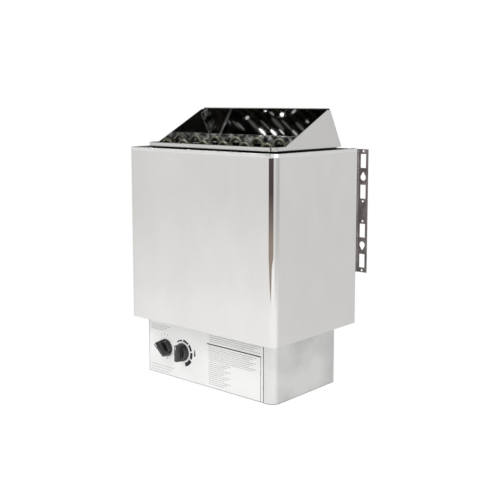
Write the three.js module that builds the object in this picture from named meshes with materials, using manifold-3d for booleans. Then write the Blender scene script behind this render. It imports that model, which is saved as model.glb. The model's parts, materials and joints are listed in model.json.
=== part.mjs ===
// Wall-hung electric sauna heater: steel jacket, open hood, heating elements and a control box.
// Millimetres, +Z up, the front faces -Y. The base rests on z = 0.
import * as THREE from "three";
import { mergeVertices } from "three/addons/utils/BufferGeometryUtils.js";
import Module from "manifold-3d";

const wasm = await Module();
wasm.setup();

// Stock and fits
const clearance = 0.3;
const sheet = 1;
const plateThickness = 1.5;
const bendRadius = 1.5;
const seam = 1;

// Outer jacket
const jacketStandoff = 26;
const jacketDepth = 270;
const jacketBottom = 126;
const jacketTop = 497;
const jacketCorner = 17;
const jacketReturn = 16;
const jacketHem = 9;

// Hood and stone liner
const hoodStep = 1;
const hoodRearGap = 21.6;
const hoodSetback = 28.3;
const hoodTop = 580;
const hoodFold = 503;
const hoodLean = 41.1;
const hoodCorner = 18;
const hoodHem = 6;
const hoodTab = 14;
const hoodBand = 518.5;
const crestRadius = 5;
const rimTop = 507;
const rimHeight = 7;
const cheekStart = 38;
const linerInset = 3;
const ledgeWidth = 12;
const grateLift = 17;
const grateSlotWidth = 8;
const grateSlotPitch = 18;
const grateSlotColumns = 3;
const grateBridge = 12;

// Heating elements
const elementCount = 3;
const legsPerRow = 4;
const legMargin = 7.625;
const tubeDiameter = 8.4;
const frontRowSetback = 115;
const rowPitch = 39;
const frontArchTop = 511;
const backArchTop = 519.5;
const bendGap = 5;
const pinLength = 24;
const supportHeight = 200;
const supportTab = 10;
const ferruleFlange = 7;
const ferruleSleeve = 5.6;
const ferruleHeight = 6;
const lockNutRadius = 8.6;
const lockNutHeight = 6;

// Control box
const boxWidth = 358;
const boxRearGap = 38;
const boxSetback = 30;
const boxCorner = 20;
const cornerReturn = 25.5;
const leftReturn = 12;
const fasciaReturn = 12;
const chassisLift = 2;
const stayWidth = 30;
const stayHeight = 24;
const earReach = 16;
const coverFlange = 12;
const ventLength = 32;
const ventWidth = 4;
const ventCount = 6;
const ventInset = 36;
const coverScrewInset = 40;
const coverScrewHeight = 7;
const rearFoot = 14;
const rearVentMargin = 2;

// Dials, measured from the left side of the box
const timerInset = 54;
const dialPitch = 51;
const dialHeight = 61;
const knobRadius = 19.5;
const knobHeight = 21.5;
const knobGap = 0.8;
const knobSkirt = 2.2;
const knobEdge = 1.5;
const bossRadius = 16.5;
const bossHeight = 7;
const gripLength = 36.5;
const gripTop = 8.4;
const gripFoot = 13;
const pointerWidth = 1.4;
const pointerDepth = 0.6;
const pointerLength = 9;
const shaftRadius = 3;
const shaftReach = 10;
const shaftSink = 14;
const collarRadius = 5;
const timerSize = 46;
const timerDepth = 34;
const bladeLength = 8;
const bladeWidth = 6;
const bladeThickness = 0.8;
const caseCorner = 4;
const thermostatWidth = 34;
const thermostatHeight = 44;
const thermostatDepth = 24;
const capsuleRadius = 15;
const capsuleDepth = 6;
const timerTurn = THREE.MathUtils.degToRad(50);

// Sensor tube and bulb
const capillaryRadius = 1.2;
const bulbRadius = 3.5;
const bulbLength = 90;
const bulbOffset = 40;
const bulbDrop = 12;
const bulbSetout = 10;
const clipWidth = 8;

// Overheat limiter
const limiterX = -20;
const limiterRadius = 13;
const limiterHeight = 24;
const limiterFlange = 17;
const buttonRadius = 4;
const buttonLength = 8;
const buttonRecess = 0.8;
const buttonTravel = 2.5;

// Mains terminals, cable gland and leads
const terminalWays = 5;
const terminalPitch = 12;
const terminalDepth = 30;
const terminalHeight = 24;
const terminalX = 70;
const glandX = 110;
const glandHeight = 45;
const glandThread = 10;
const glandThreadLength = 9;
const glandNutHeight = 5;
const glandBore = 7;
const glandHex = 14;
const glandLength = 24;
const leadRadius = 1.6;
const leadPitch = 8;
const linkWidth = 12;

// Wall brackets
const wallGap = 10;
const bracketHeight = 260;
const bracketTop = 495;
const bracketWeb = 3.5;
const bracketFlange = 32;
const wingWidth = 24;
const windowWidth = 13.5;
const windowHeight = 29;
const windowOffsets = [41.1, 105.3];
const nailHoleRadius = 2.5;
const nailHoleOffsets = [21, 125.8];
const keyholeRadius = 6.8;
const keyholeTip = 2.5;
const keyholeReach = 8.7;
const keyholeOffset = 71.1;
const screwRadius = 2.5;
const screwHead = 4.4;
const screwHeadHeight = 2.6;
const screwInset = 4.8;
const screwOffset = 112;

// Places of a row of copies, centred on zero
function centred(count, pitch) {
  return Array.from({ length: count }, (_, i) => (i - (count - 1) / 2) * pitch);
}

// Planes that the pieces share
const frontY = -(jacketDepth + wallGap) / 2;
const backY = frontY + jacketDepth;
const wallY = backY + wallGap;
const boxHalf = boxWidth / 2;
const jacketHalf = boxHalf + jacketStandoff;
const hoodHalf = boxHalf - hoodStep;
const hoodFrontY = frontY + hoodSetback;
const hoodBackY = backY - hoodRearGap;
const hoodBottom = rimTop - rimHeight;
const crestY = hoodBackY - hoodLean;
const boxFrontY = frontY + boxSetback;
const boxBackY = backY - boxRearGap;
const rearPanelY = backY - sheet - clearance;
const chassisBottom = jacketBottom + chassisLift;
const chassisTop = chassisBottom + plateThickness;
const chassisRear = rearPanelY - sheet - bendRadius;
const linerHalf = hoodHalf - linerInset;
const linerFrontY = hoodFrontY + linerInset;
const linerBackY = hoodBackY - linerInset;
const linerBottom = chassisTop + clearance;
const linerTop = hoodBottom - clearance;
const linerCorner = hoodCorner - linerInset;
const ledgeTop = linerBottom + grateLift;
const grateBottom = ledgeTop + clearance;
const grateTop = grateBottom + plateThickness;
const tubeRadius = tubeDiameter / 2;
const frontRowY = frontY + frontRowSetback;
const backRowY = frontRowY + rowPitch;
const elementBottom = grateTop + bendGap + tubeRadius;
const pinBottom = chassisBottom - pinLength;
const legRoom = 2 * (linerHalf - sheet - legMargin);
const legPitch = legRoom / (legsPerRow * elementCount - 1);
const elementPitch = legsPerRow * legPitch;
const legOffsets = centred(legsPerRow, legPitch);
const terminalLegX = legOffsets[0];
const elementPlaces = centred(elementCount, elementPitch);
const fasciaRight = boxHalf - cornerReturn - seam;
const coverTop = sheet + clearance;
const coverScrewPlaces = [-1, 1].map((side) => side * (boxHalf - coverScrewInset));
const limiterY = (boxFrontY + boxBackY) / 2;
const screwX = jacketHalf - jacketReturn + screwInset;
const bracketMiddle = bracketTop - bracketHeight / 2;
const timerX = -boxHalf + timerInset;
const thermostatX = timerX + dialPitch;
const unitFront = -plateThickness - clearance;

// Finishes
function finish(color, roughness, metalness) {
  return new THREE.MeshStandardMaterial({ color, roughness, metalness });
}
const polishedSteel = finish(0xd6d6d4, 0.2, 1);
const satinSteel = finish(0xc9c8c5, 0.35, 1);
const bracketSteel = finish(0x6b6462, 0.5, 1);
const elementSheath = finish(0x56564a, 0.6, 0.8);
const whitePaint = finish(0xe9e9e6, 0.45, 0);
const blackPlastic = finish(0x17171a, 0.25, 0);
const darkPlastic = finish(0x303236, 0.6, 0);
const palePlastic = finish(0xdad7cc, 0.6, 0);
const brass = finish(0xb6924c, 0.35, 1);
const copper = finish(0xb3714a, 0.35, 1);
const redPlastic = finish(0xa02620, 0.4, 0);

// A closed solid from a three.js geometry: shared corners merged, flat triangles dropped, faces out.
function solid(geometry) {
  const bare = geometry.clone();
  bare.deleteAttribute("normal");
  bare.deleteAttribute("uv");
  const merged = mergeVertices(bare, 1e-4);
  const vertProperties = merged.attributes.position.array;
  const corner = (i) => new THREE.Vector3().fromArray(vertProperties, 3 * i);
  const triangles = [];
  let volume = 0;
  for (let i = 0; i < merged.index.count; i += 3) {
    const [a, b, c] = merged.index.array.slice(i, i + 3);
    if (a !== b && b !== c && c !== a) {
      triangles.push([a, b, c]);
      volume += corner(a).dot(corner(b).cross(corner(c)));
    }
  }
  const facesOut = triangles.map(([a, b, c]) => (volume > 0 ? [a, b, c] : [a, c, b]));
  const triVerts = new Uint32Array(facesOut.flat());
  return new wasm.Manifold(new wasm.Mesh({ numProp: 3, vertProperties, triVerts }));
}

function join(first, ...others) {
  return others.reduce((body, other) => body.add(other), first);
}

function cut(first, ...tools) {
  return tools.reduce((body, tool) => body.subtract(tool), first);
}

function piece(name, body, material, parent) {
  const mesh = body.getMesh();
  const geometry = new THREE.BufferGeometry();
  geometry.setAttribute("position", new THREE.BufferAttribute(mesh.vertProperties, 3));
  geometry.setIndex(new THREE.BufferAttribute(mesh.triVerts, 1));
  geometry.computeVertexNormals();
  const part = new THREE.Mesh(geometry, material);
  part.name = name;
  parent.add(part);
  return part;
}

// A sheet bent along a line of corners: the face follows the line and the thickness lies on its left.
function bentSheet(corners, insideRadii, thickness) {
  const points = corners.map(([x, y]) => new THREE.Vector2(x, y));
  const runs = points.slice(1).map((p, i) => p.clone().sub(points[i]).normalize());
  const lefts = runs.map((d) => new THREE.Vector2(-d.y, d.x));
  const backs = points.map((p, i) => {
    const before = lefts[Math.max(i - 1, 0)];
    const after = lefts[Math.min(i, lefts.length - 1)];
    const miter = before.clone().add(after).multiplyScalar(thickness / (1 + before.dot(after)));
    return p.clone().add(miter);
  });
  const shape = new THREE.Shape();
  // One rounded corner of the face (way 1) or, on the road back, of the other side (way -1).
  const bend = (line, i, way) => {
    const side = Math.sign(runs[i - 1].cross(runs[i]));
    const radius = insideRadii[i - 1] + (side === -way ? 0 : thickness);
    const halfTurn = Math.acos(THREE.MathUtils.clamp(runs[i - 1].dot(runs[i]), -1, 1)) / 2;
    const centre = line[i].clone().addScaledVector(runs[i - 1], -radius * Math.tan(halfTurn));
    centre.addScaledVector(lefts[i - 1], side * radius);
    const angles = [lefts[i - 1], lefts[i]].map((left) => Math.atan2(-side * left.y, -side * left.x));
    const [from, to] = way > 0 ? angles : angles.reverse();
    shape.lineTo(centre.x + radius * Math.cos(from), centre.y + radius * Math.sin(from));
    shape.absarc(centre.x, centre.y, radius, from, to, side !== way);
  };
  const last = points.length - 1;
  shape.moveTo(points[0].x, points[0].y);
  for (let i = 1; i < last; i += 1) {
    bend(points, i, 1);
  }
  shape.lineTo(points[last].x, points[last].y);
  shape.lineTo(backs[last].x, backs[last].y);
  for (let i = last - 1; i > 0; i -= 1) {
    bend(backs, i, -1);
  }
  shape.lineTo(backs[0].x, backs[0].y);
  return shape;
}

// A rectangle with rounded corners.
function roundedPlate(x0, x1, y0, y1, radius) {
  const shape = new THREE.Shape();
  shape.absarc(x1 - radius, y0 + radius, radius, -Math.PI / 2, 0, false);
  shape.absarc(x1 - radius, y1 - radius, radius, 0, Math.PI / 2, false);
  shape.absarc(x0 + radius, y1 - radius, radius, Math.PI / 2, Math.PI, false);
  shape.absarc(x0 + radius, y0 + radius, radius, Math.PI, 1.5 * Math.PI, false);
  return shape;
}

function outline(points) {
  return new THREE.Shape(points.map(([x, y]) => new THREE.Vector2(x, y)));
}

function disc(radius, sides) {
  const step = (2 * Math.PI) / sides;
  const corner = (_, i) => [radius * Math.cos(i * step), radius * Math.sin(i * step)];
  return outline(Array.from({ length: sides }, corner));
}

// Extrusions along the three axes. The outline lies in XY, in YZ or in XZ.
function extrude(shape, length, curveSegments = 2) {
  return new THREE.ExtrudeGeometry(shape, { depth: length, bevelEnabled: false, curveSegments });
}

function alongZ(shape, z0, z1, curveSegments) {
  return solid(extrude(shape, z1 - z0, curveSegments).translate(0, 0, z0));
}

function alongX(shape, x0, x1, curveSegments) {
  const turn = new THREE.Matrix4().makeBasis(
    new THREE.Vector3(0, 1, 0),
    new THREE.Vector3(0, 0, 1),
    new THREE.Vector3(1, 0, 0),
  );
  return solid(extrude(shape, x1 - x0, curveSegments).applyMatrix4(turn).translate(x0, 0, 0));
}

function alongY(shape, y0, y1, curveSegments) {
  return solid(extrude(shape, y1 - y0, curveSegments).rotateX(Math.PI / 2).translate(0, y1, 0));
}

function block(x0, x1, y0, y1, z0, z1) {
  const box = new THREE.BoxGeometry(x1 - x0, y1 - y0, z1 - z0);
  return solid(box.translate((x0 + x1) / 2, (y0 + y1) / 2, (z0 + z1) / 2));
}

function rod(radius, z0, z1, x = 0, y = 0, sides = 12) {
  return solid(extrude(disc(radius, sides), z1 - z0).translate(x, y, z0));
}

// Cutters for round holes: their flats, not their corners, lie on the wanted circle.
function clearDisc(radius, sides) {
  return disc(radius / Math.cos(Math.PI / sides), sides);
}

function bore(radius, z0, z1, x = 0, y = 0, sides = 12) {
  return solid(extrude(clearDisc(radius, sides), z1 - z0).translate(x, y, z0));
}

function boreAlongY(radius, y0, y1, x, z, sides = 10) {
  return solid(extrude(clearDisc(radius, sides), y1 - y0).rotateX(Math.PI / 2).translate(x, y1, z));
}

// A turned piece about Z. The profile runs from axis to axis, or closes on itself for a ring.
function turned(profile, sides = 24) {
  const points = profile.map(([radius, z]) => new THREE.Vector2(radius, z));
  return solid(new THREE.LatheGeometry(points, sides).rotateX(Math.PI / 2));
}

// A tube path through corners with equal bends: each straight run is one step, each bend a few.
class BentPath extends THREE.Curve {
  constructor(corners, radius, stepsPerBend) {
    super();
    this.stations = [];
    this.headings = [];
    const points = corners.map(([x, y, z]) => new THREE.Vector3(x, y, z));
    const runs = points.slice(1).map((p, i) => p.clone().sub(points[i]).normalize());
    this.addStation(points[0], runs[0]);
    for (let i = 1; i < points.length - 1; i += 1) {
      const axis = runs[i - 1].clone().cross(runs[i]).normalize();
      const turn = runs[i - 1].angleTo(runs[i]);
      const start = points[i].clone().addScaledVector(runs[i - 1], -radius * Math.tan(turn / 2));
      const spoke = runs[i - 1].clone().cross(axis).multiplyScalar(radius);
      const centre = start.clone().sub(spoke);
      for (let step = 0; step <= stepsPerBend; step += 1) {
        const angle = (turn * step) / stepsPerBend;
        const arm = spoke.clone().applyAxisAngle(axis, angle);
        this.addStation(arm.add(centre), runs[i - 1].clone().applyAxisAngle(axis, angle));
      }
    }
    this.addStation(points.at(-1), runs.at(-1));
  }

  addStation(point, heading) {
    if (this.stations.length === 0 || this.stations.at(-1).distanceTo(point) > 0.01) {
      this.stations.push(point);
      this.headings.push(heading);
    }
  }

  get steps() {
    return this.stations.length - 1;
  }

  getPoint(t, target = new THREE.Vector3()) {
    return target.copy(this.stations[Math.round(t * this.steps)]);
  }

  getSpacedPoints() {
    return this.stations;
  }

  getTangentAt(u, target = new THREE.Vector3()) {
    return target.copy(this.headings[Math.round(u * this.steps)]);
  }
}

function tube(corners, bend, radius, sides, stepsPerBend) {
  const extrudePath = new BentPath(corners, bend, stepsPerBend);
  return solid(new THREE.ExtrudeGeometry(disc(radius, sides), { steps: extrudePath.steps, extrudePath }));
}

// Groups that hold the heater's sub-assemblies
const heater = new THREE.Group();
const casing = new THREE.Group();
const furnace = new THREE.Group();
const controls = new THREE.Group();
heater.add(casing, furnace, controls);

// Every place where a bracket screw goes through bracket, jacket return and rear panel
const screwPlaces = [-1, 1].flatMap((side) =>
  [-1, 1].map((end) => ({ side, end, x: side * screwX, z: bracketMiddle + end * screwOffset })),
);

function screwHoles() {
  const deep = [backY - 4 * sheet, backY + sheet];
  return screwPlaces.map(({ x, z }) => boreAlongY(screwRadius + clearance, ...deep, x, z));
}

// Outer jacket: one wrap round front and sides with returns at the back and hems at both open edges
function jacketHemAt(z0, z1) {
  const side = jacketHalf - sheet / 2;
  const front = frontY + sheet / 2;
  const end = backY - jacketReturn;
  const line = [[-side, end], [-side, front], [side, front], [side, end]];
  const inside = jacketCorner - 2 * sheet;
  return alongZ(bentSheet(line, [inside, inside], 1.5 * sheet), z0, z1, 3);
}

function outerJacket() {
  const line = [
    [-jacketHalf + jacketReturn, backY],
    [-jacketHalf, backY],
    [-jacketHalf, frontY],
    [jacketHalf, frontY],
    [jacketHalf, backY],
    [jacketHalf - jacketReturn, backY],
  ];
  const inside = jacketCorner - sheet;
  const profile = bentSheet(line, [bendRadius, inside, inside, bendRadius], sheet);
  const wrap = alongZ(profile, jacketBottom, jacketTop, 3);
  const lowHem = jacketHemAt(jacketBottom, jacketBottom + jacketHem);
  const topHem = jacketHemAt(jacketTop - jacketHem, jacketTop);
  return cut(join(wrap, lowHem, topHem), ...screwHoles());
}
piece("outer_jacket", outerJacket(), polishedSteel, casing);

// Air slots behind the liner, through the chassis plate and through the foot under it
function rearVents(z0, z1) {
  const half = (elementPitch - grateBridge) / 2;
  const y0 = linerBackY + rearVentMargin;
  const y1 = chassisRear - rearVentMargin;
  return elementPlaces.map((x) => block(x - half, x + half, y0, y1, z0, z1));
}

// Rear panel: a flat sheet behind the returns, with a slotted foot that the chassis plate lies on
function rearPanel() {
  const foot = chassisBottom - clearance - sheet;
  const line = [[rearPanelY - rearFoot, foot], [rearPanelY, foot], [rearPanelY, jacketTop - sheet]];
  const half = jacketHalf - sheet - bendRadius;
  const panel = alongX(bentSheet(line, [bendRadius], sheet), -half, half);
  return cut(panel, ...screwHoles(), ...rearVents(foot - 1, foot + 2 * sheet));
}
piece("rear_panel", rearPanel(), satinSteel, casing);

// Wall bracket: a joggled strip, flange on the heater and a punched wing on the wall
function keyhole(x, z, end) {
  const lean = Math.asin((keyholeRadius - keyholeTip) / keyholeReach);
  const up = end > 0 ? 0 : Math.PI;
  const shape = new THREE.Shape();
  shape.absarc(x, z + end * keyholeReach, keyholeTip, up + lean, up + Math.PI - lean, false);
  shape.absarc(x, z, keyholeRadius, up + Math.PI - lean, up + 2 * Math.PI + lean, false);
  return shape;
}

function wallBracket() {
  const web = jacketHalf - bracketWeb;
  const face = backY + clearance;
  const wing = wallY - plateThickness;
  const line = [[web - bracketFlange, face], [web, face], [web, wing], [web + wingWidth, wing]];
  const half = bracketHeight / 2;
  const strip = alongZ(bentSheet(line, [bendRadius, bendRadius], plateThickness), -half, half);
  const holeX = web + wingWidth / 2;
  const depth = [wing - sheet, wallY + sheet];
  const tools = [];
  for (const end of [-1, 1]) {
    for (const offset of windowOffsets) {
      const z = end * offset;
      const x0 = holeX - windowWidth / 2;
      tools.push(block(x0, x0 + windowWidth, ...depth, z - windowHeight / 2, z + windowHeight / 2));
    }
    for (const offset of nailHoleOffsets) {
      tools.push(boreAlongY(nailHoleRadius, ...depth, holeX, end * offset));
    }
    tools.push(alongY(keyhole(holeX, end * keyholeOffset, end), ...depth));
    const screwSpot = [screwX, end * screwOffset];
    tools.push(boreAlongY(screwRadius + clearance, backY - sheet, backY + 3 * plateThickness, ...screwSpot));
  }
  return cut(strip, ...tools);
}

const bracketShape = wallBracket();
for (const [name, turn] of [["wall_bracket_right", 0], ["wall_bracket_left", Math.PI]]) {
  const bracket = piece(name, bracketShape, bracketSteel, casing);
  bracket.position.z = bracketMiddle;
  bracket.rotation.y = turn;
}

// Pan-head screws that hold bracket, jacket and rear panel together
function panScrew(reach) {
  return turned([
    [0, -reach],
    [screwRadius, -reach],
    [screwRadius, 0],
    [screwHead, 0],
    [screwHead, screwHeadHeight / 2],
    [screwHead / 2, screwHeadHeight],
    [0, screwHeadHeight],
  ], 12);
}

for (const { side, end, x, z } of screwPlaces) {
  const name = `bracket_screw_${side > 0 ? "right" : "left"}_${end > 0 ? "upper" : "lower"}`;
  const screw = piece(name, panScrew(plateThickness + 4 * sheet), satinSteel, casing);
  screw.position.set(x, backY + plateThickness + 2 * clearance, z);
  screw.rotation.x = -Math.PI / 2;
}

// Chassis plate: carries liner and elements, closes the control box and has an ear for each jacket stay
const pinPlaces = elementPlaces.flatMap((x, i) => [
  { name: `${i + 1}_front`, x: x + terminalLegX, y: frontRowY },
  { name: `${i + 1}_rear`, x: x + terminalLegX, y: backRowY },
]);

function chassisPlate() {
  const shape = roundedPlate(-boxHalf, boxHalf, boxFrontY, chassisRear, seam);
  const plate = alongZ(shape, chassisBottom, chassisTop);
  const deep = [chassisBottom - 1, chassisTop + 1];
  const holes = pinPlaces.map(({ x, y }) => bore(ferruleSleeve + clearance, ...deep, x, y));
  const ear = boxHalf + earReach;
  const ears = block(-ear, ear, -stayWidth / 2, stayWidth / 2, chassisBottom, chassisTop);
  return cut(join(plate, ears), ...holes, ...rearVents(...deep));
}
piece("chassis_plate", chassisPlate(), satinSteel, casing);

// Jacket stays: angles on the chassis plate that hold the jacket's lower hem
function jacketStay() {
  const foot = chassisTop + clearance;
  const side = jacketHalf - 2 * sheet - clearance;
  const line = [[linerHalf + sheet, foot], [side, foot], [side, foot + stayHeight]];
  return alongY(bentSheet(line, [bendRadius], plateThickness), -stayWidth / 2, stayWidth / 2);
}
for (const [name, turn] of [["jacket_stay_right", 0], ["jacket_stay_left", Math.PI]]) {
  piece(name, jacketStay(), satinSteel, casing).rotation.z = turn;
}

// Round holes that let every element's ends down through grate and ledge
function pinHoles(z0, z1) {
  return pinPlaces.map(({ x, y }) => bore(tubeRadius + 5 * clearance, z0, z1, x, y));
}

// Inner liner: a tall open box with air windows at its foot, a ledge for the grate and a top flange
function innerLiner() {
  const ring = (inset) => {
    const sides = [inset - linerHalf, linerHalf - inset, linerFrontY + inset, linerBackY - inset];
    return roundedPlate(...sides, Math.max(linerCorner - inset, bendRadius));
  };
  const wall = ring(0);
  wall.holes.push(ring(sheet));
  const flange = ring(-linerInset);
  flange.holes.push(ring(sheet / 2));
  const ledge = ring(sheet / 2);
  ledge.holes.push(ring(sheet + ledgeWidth));
  const body = join(
    alongZ(wall, linerBottom, linerTop),
    alongZ(flange, linerTop - sheet, linerTop),
    alongZ(ledge, ledgeTop - sheet, ledgeTop),
  );
  const low = linerBottom + 3 * sheet;
  const high = ledgeTop - 3 * sheet;
  const half = (elementPitch - grateBridge) / 2;
  const across = [linerFrontY - 1, linerBackY + 1];
  const fronts = elementPlaces.map((x) => block(x - half, x + half, ...across, low, high));
  const middle = (linerFrontY + linerBackY) / 2;
  const sides = [-1, 1].map((way) => {
    const centre = middle + (way * (linerBackY - linerFrontY)) / 4;
    const reach = (linerBackY - linerFrontY) / 4 - grateBridge;
    return block(-linerHalf - 1, linerHalf + 1, centre - reach, centre + reach, low, high);
  });
  return cut(body, ...fronts, ...sides, ...pinHoles(high, ledgeTop + 1));
}
piece("inner_liner", innerLiner(), polishedSteel, furnace);

// Hood: a wrap with a low front rim and rising cheeks, a rear wall that leans forward
// and an upright band along the foot of that wall
const leanWay = new THREE.Vector2(-hoodLean, hoodTop - hoodFold).normalize();
const leanInward = new THREE.Vector2(-leanWay.y, leanWay.x);

// A point on the leaning wall, measured down from its crest and in from its outer face.
function onLean(down, depth) {
  const crest = new THREE.Vector2(crestY, hoodTop);
  return crest.addScaledVector(leanWay, -down).addScaledVector(leanInward, depth).toArray();
}

function cheekOutline() {
  const front = hoodFrontY - sheet;
  const back = hoodBackY - sheet / 2;
  return outline([
    [front, hoodBottom],
    [back, hoodBottom],
    [back, hoodFold],
    onLean(clearance, sheet / 2),
    [hoodFrontY + cheekStart, rimTop],
    [front, rimTop],
  ]);
}

function hoodWrap(inset, thickness) {
  const half = hoodHalf - inset;
  const front = hoodFrontY + inset;
  const back = hoodBackY - sheet / 2;
  const line = [[-half, back], [-half, front], [half, front], [half, back]];
  const inside = hoodCorner - inset - thickness;
  return bentSheet(line, [inside, inside], thickness);
}

// What is cut away to round a top corner of the rear wall
function crestCorner(side) {
  const shape = new THREE.Shape();
  const x = side * hoodHalf;
  const z = hoodTop;
  shape.moveTo(x + side, z + 1);
  shape.lineTo(x - side * crestRadius, z + 1);
  shape.lineTo(x - side * crestRadius, z);
  shape.quadraticCurveTo(x, z, x, z - crestRadius);
  shape.lineTo(x + side, z - crestRadius);
  return alongY(shape, crestY - hoodLean, hoodBackY);
}

function hood() {
  const cheeks = alongX(cheekOutline(), -hoodHalf - 1, hoodHalf + 1);
  const wrap = alongZ(hoodWrap(0, sheet), hoodBottom, hoodTop + 1, 3).intersect(cheeks);
  const rimHem = alongZ(hoodWrap(sheet / 2, 1.5 * sheet), rimTop - hoodHem, rimTop, 3);
  const hemEnd = hoodFrontY + cheekStart;
  const frontHem = rimHem.subtract(block(-hoodHalf, hoodHalf, hemEnd, hoodBackY + 1, hoodBottom, hoodTop));
  const half = hoodHalf - sheet / 2;
  const line = [[hoodBackY, hoodBottom], [hoodBackY, hoodFold], [crestY, hoodTop]];
  const wall = alongX(bentSheet(line, [bendRadius], sheet), -half, half);
  const hemLine = [onLean(hoodHem, sheet / 2), onLean(clearance, sheet / 2)];
  const wallHem = alongX(bentSheet(hemLine, [], 1.5 * sheet), -half, half);
  const leanLength = Math.hypot(hoodLean, hoodTop - hoodFold);
  const tabDown = [hoodHem + bendRadius, leanLength - 2 * hoodTab];
  const tabRoot = tabDown.map((down) => onLean(down, sheet / 2));
  const tabLip = tabDown.map((down) => onLean(down, hoodTab)).reverse();
  const tab = outline([...tabRoot, ...tabLip]);
  const tabs = [-half, half - 1.5 * sheet].map((x) => alongX(tab, x, x + 1.5 * sheet));
  const bandBack = crestY + (hoodLean * (hoodTop - hoodBand)) / (hoodTop - hoodFold) - sheet / 2;
  const band = block(-half, half, bandBack - sheet, bandBack, hoodBottom, hoodBand);
  return cut(join(wrap, frontHem, wall, wallHem, band, ...tabs), crestCorner(-1), crestCorner(1));
}
piece("hood", hood(), polishedSteel, furnace);

// Floor grate: a slotted plate on the liner's ledge that carries the stones
function floorGrate() {
  const gap = sheet + clearance;
  const sides = [-linerHalf + gap, linerHalf - gap, linerFrontY + gap, linerBackY - gap];
  const plate = alongZ(roundedPlate(...sides, linerCorner - gap), grateBottom, grateTop);
  const deep = [grateBottom - 1, grateTop + 1];
  const rim = ledgeWidth + grateBridge;
  const zones = [
    [linerFrontY + rim, frontRowY - grateBridge],
    [backRowY + grateBridge, linerBackY - rim],
  ];
  const columnPitch = (2 * linerHalf - 2 * rim) / grateSlotColumns;
  const slots = [];
  for (const [y0, y1] of zones) {
    const rows = Math.floor((y1 - y0) / grateSlotPitch);
    for (const offset of centred(rows, grateSlotPitch)) {
      const y = (y0 + y1) / 2 + offset;
      for (const x of centred(grateSlotColumns, columnPitch)) {
        const half = (columnPitch - grateBridge) / 2;
        slots.push(block(x - half, x + half, y - grateSlotWidth / 2, y + grateSlotWidth / 2, ...deep));
      }
    }
  }
  return cut(plate, ...pinHoles(...deep), ...slots);
}
piece("floor_grate", floorGrate(), satinSteel, furnace);

// Heating elements: one tube each, eight legs, two arches in front and two taller ones behind
function heatingElement() {
  const low = elementBottom;
  const front = frontArchTop - tubeRadius;
  const back = backArchTop - tubeRadius;
  const row = (columns, y, top, start, end) =>
    columns.flatMap((x, i) => {
      if (i % 2 === 0) {
        return [[x, y, i === 0 ? start : low], [x, y, top]];
      }
      return [[x, y, top], [x, y, i === columns.length - 1 ? end : low]];
    });
  const route = [
    ...row(legOffsets, frontRowY, front, pinBottom, low),
    ...row(legOffsets.toReversed(), backRowY, back, low, pinBottom),
  ];
  return tube(route, legPitch / 2, tubeRadius, 8, 3);
}
elementPlaces.forEach((x, i) => {
  piece(`heating_element_${i + 1}`, heatingElement(), elementSheath, furnace).position.x = x;
});

// Element support: a comb across the liner, a notch for every leg
function elementSupport() {
  const half = linerHalf - sheet - clearance;
  const front = frontRowY - tubeRadius / 2;
  const back = backRowY + tubeRadius / 2;
  const notch = (tubeRadius + clearance) / Math.cos(Math.PI / 8);
  const legs = elementPlaces.flatMap((x) => legOffsets.map((offset) => x + offset));
  const comb = new THREE.Shape();
  comb.moveTo(-half, front);
  for (const leg of legs) {
    comb.lineTo(leg - notch, front);
    comb.absarc(leg, frontRowY, notch, Math.PI, 0, true);
    comb.lineTo(leg + notch, front);
  }
  comb.lineTo(half, front);
  comb.lineTo(half, back);
  for (const leg of legs.toReversed()) {
    comb.lineTo(leg + notch, back);
    comb.absarc(leg, backRowY, notch, 0, -Math.PI, true);
    comb.lineTo(leg - notch, back);
  }
  comb.lineTo(-half, back);
  const top = supportHeight + plateThickness;
  const y0 = frontRowY + 2 * tubeRadius;
  const y1 = backRowY - 2 * tubeRadius;
  const tabs = [
    block(-half, -half + plateThickness, y0, y1, top - supportTab, top),
    block(half - plateThickness, half, y0, y1, top - supportTab, top),
  ];
  return join(alongZ(comb, supportHeight, top), ...tabs);
}
piece("element_support", elementSupport(), satinSteel, furnace);

// Ferrules and lock nuts that hold each element's two ends in the chassis plate
function ferrule() {
  const low = -pinLength / 2;
  const body = turned([
    [0, low],
    [ferruleSleeve, low],
    [ferruleSleeve, clearance],
    [ferruleFlange, clearance],
    [ferruleFlange, ferruleHeight],
    [0, ferruleHeight],
  ], 12);
  return cut(body, bore(tubeRadius + clearance, low - 1, ferruleHeight + 1));
}

function hexNut(radius, thread, height) {
  const shape = disc(radius, 6);
  shape.holes.push(clearDisc(thread + clearance, 12));
  return alongZ(shape, 0, height);
}

const lockNut = hexNut(lockNutRadius, ferruleSleeve, lockNutHeight);
for (const { name, x, y } of pinPlaces) {
  piece(`element_ferrule_${name}`, ferrule(), brass, furnace).position.set(x, y, chassisTop);
  const nut = piece(`lock_nut_${name}`, lockNut, brass, furnace);
  nut.position.set(x, y, chassisBottom - clearance - lockNutHeight);
}

// Neutral link: a copper strip joining the rear end of every element
function neutralLink() {
  const rears = pinPlaces.filter(({ name }) => name.endsWith("rear"));
  const ends = rears.map(({ x }) => x);
  const half = linkWidth / 2;
  const line = [Math.min(...ends) - half, Math.max(...ends) + half, backRowY - half, backRowY + half];
  const z = pinBottom + 2 * sheet;
  const strip = alongZ(roundedPlate(...line, half / 2), z, z + plateThickness);
  const deep = [z - 1, z + plateThickness + 1];
  return cut(strip, ...rears.map(({ x, y }) => bore(tubeRadius + clearance, ...deep, x, y)));
}
piece("neutral_link", neutralLink(), copper, controls);

// Holes for the screws through the box's back wall and the bottom cover's rear flange
function coverScrewHoles(y0, y1) {
  return coverScrewPlaces.map((x) => boreAlongY(screwRadius + clearance, y0, y1, x, coverScrewHeight));
}

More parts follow.
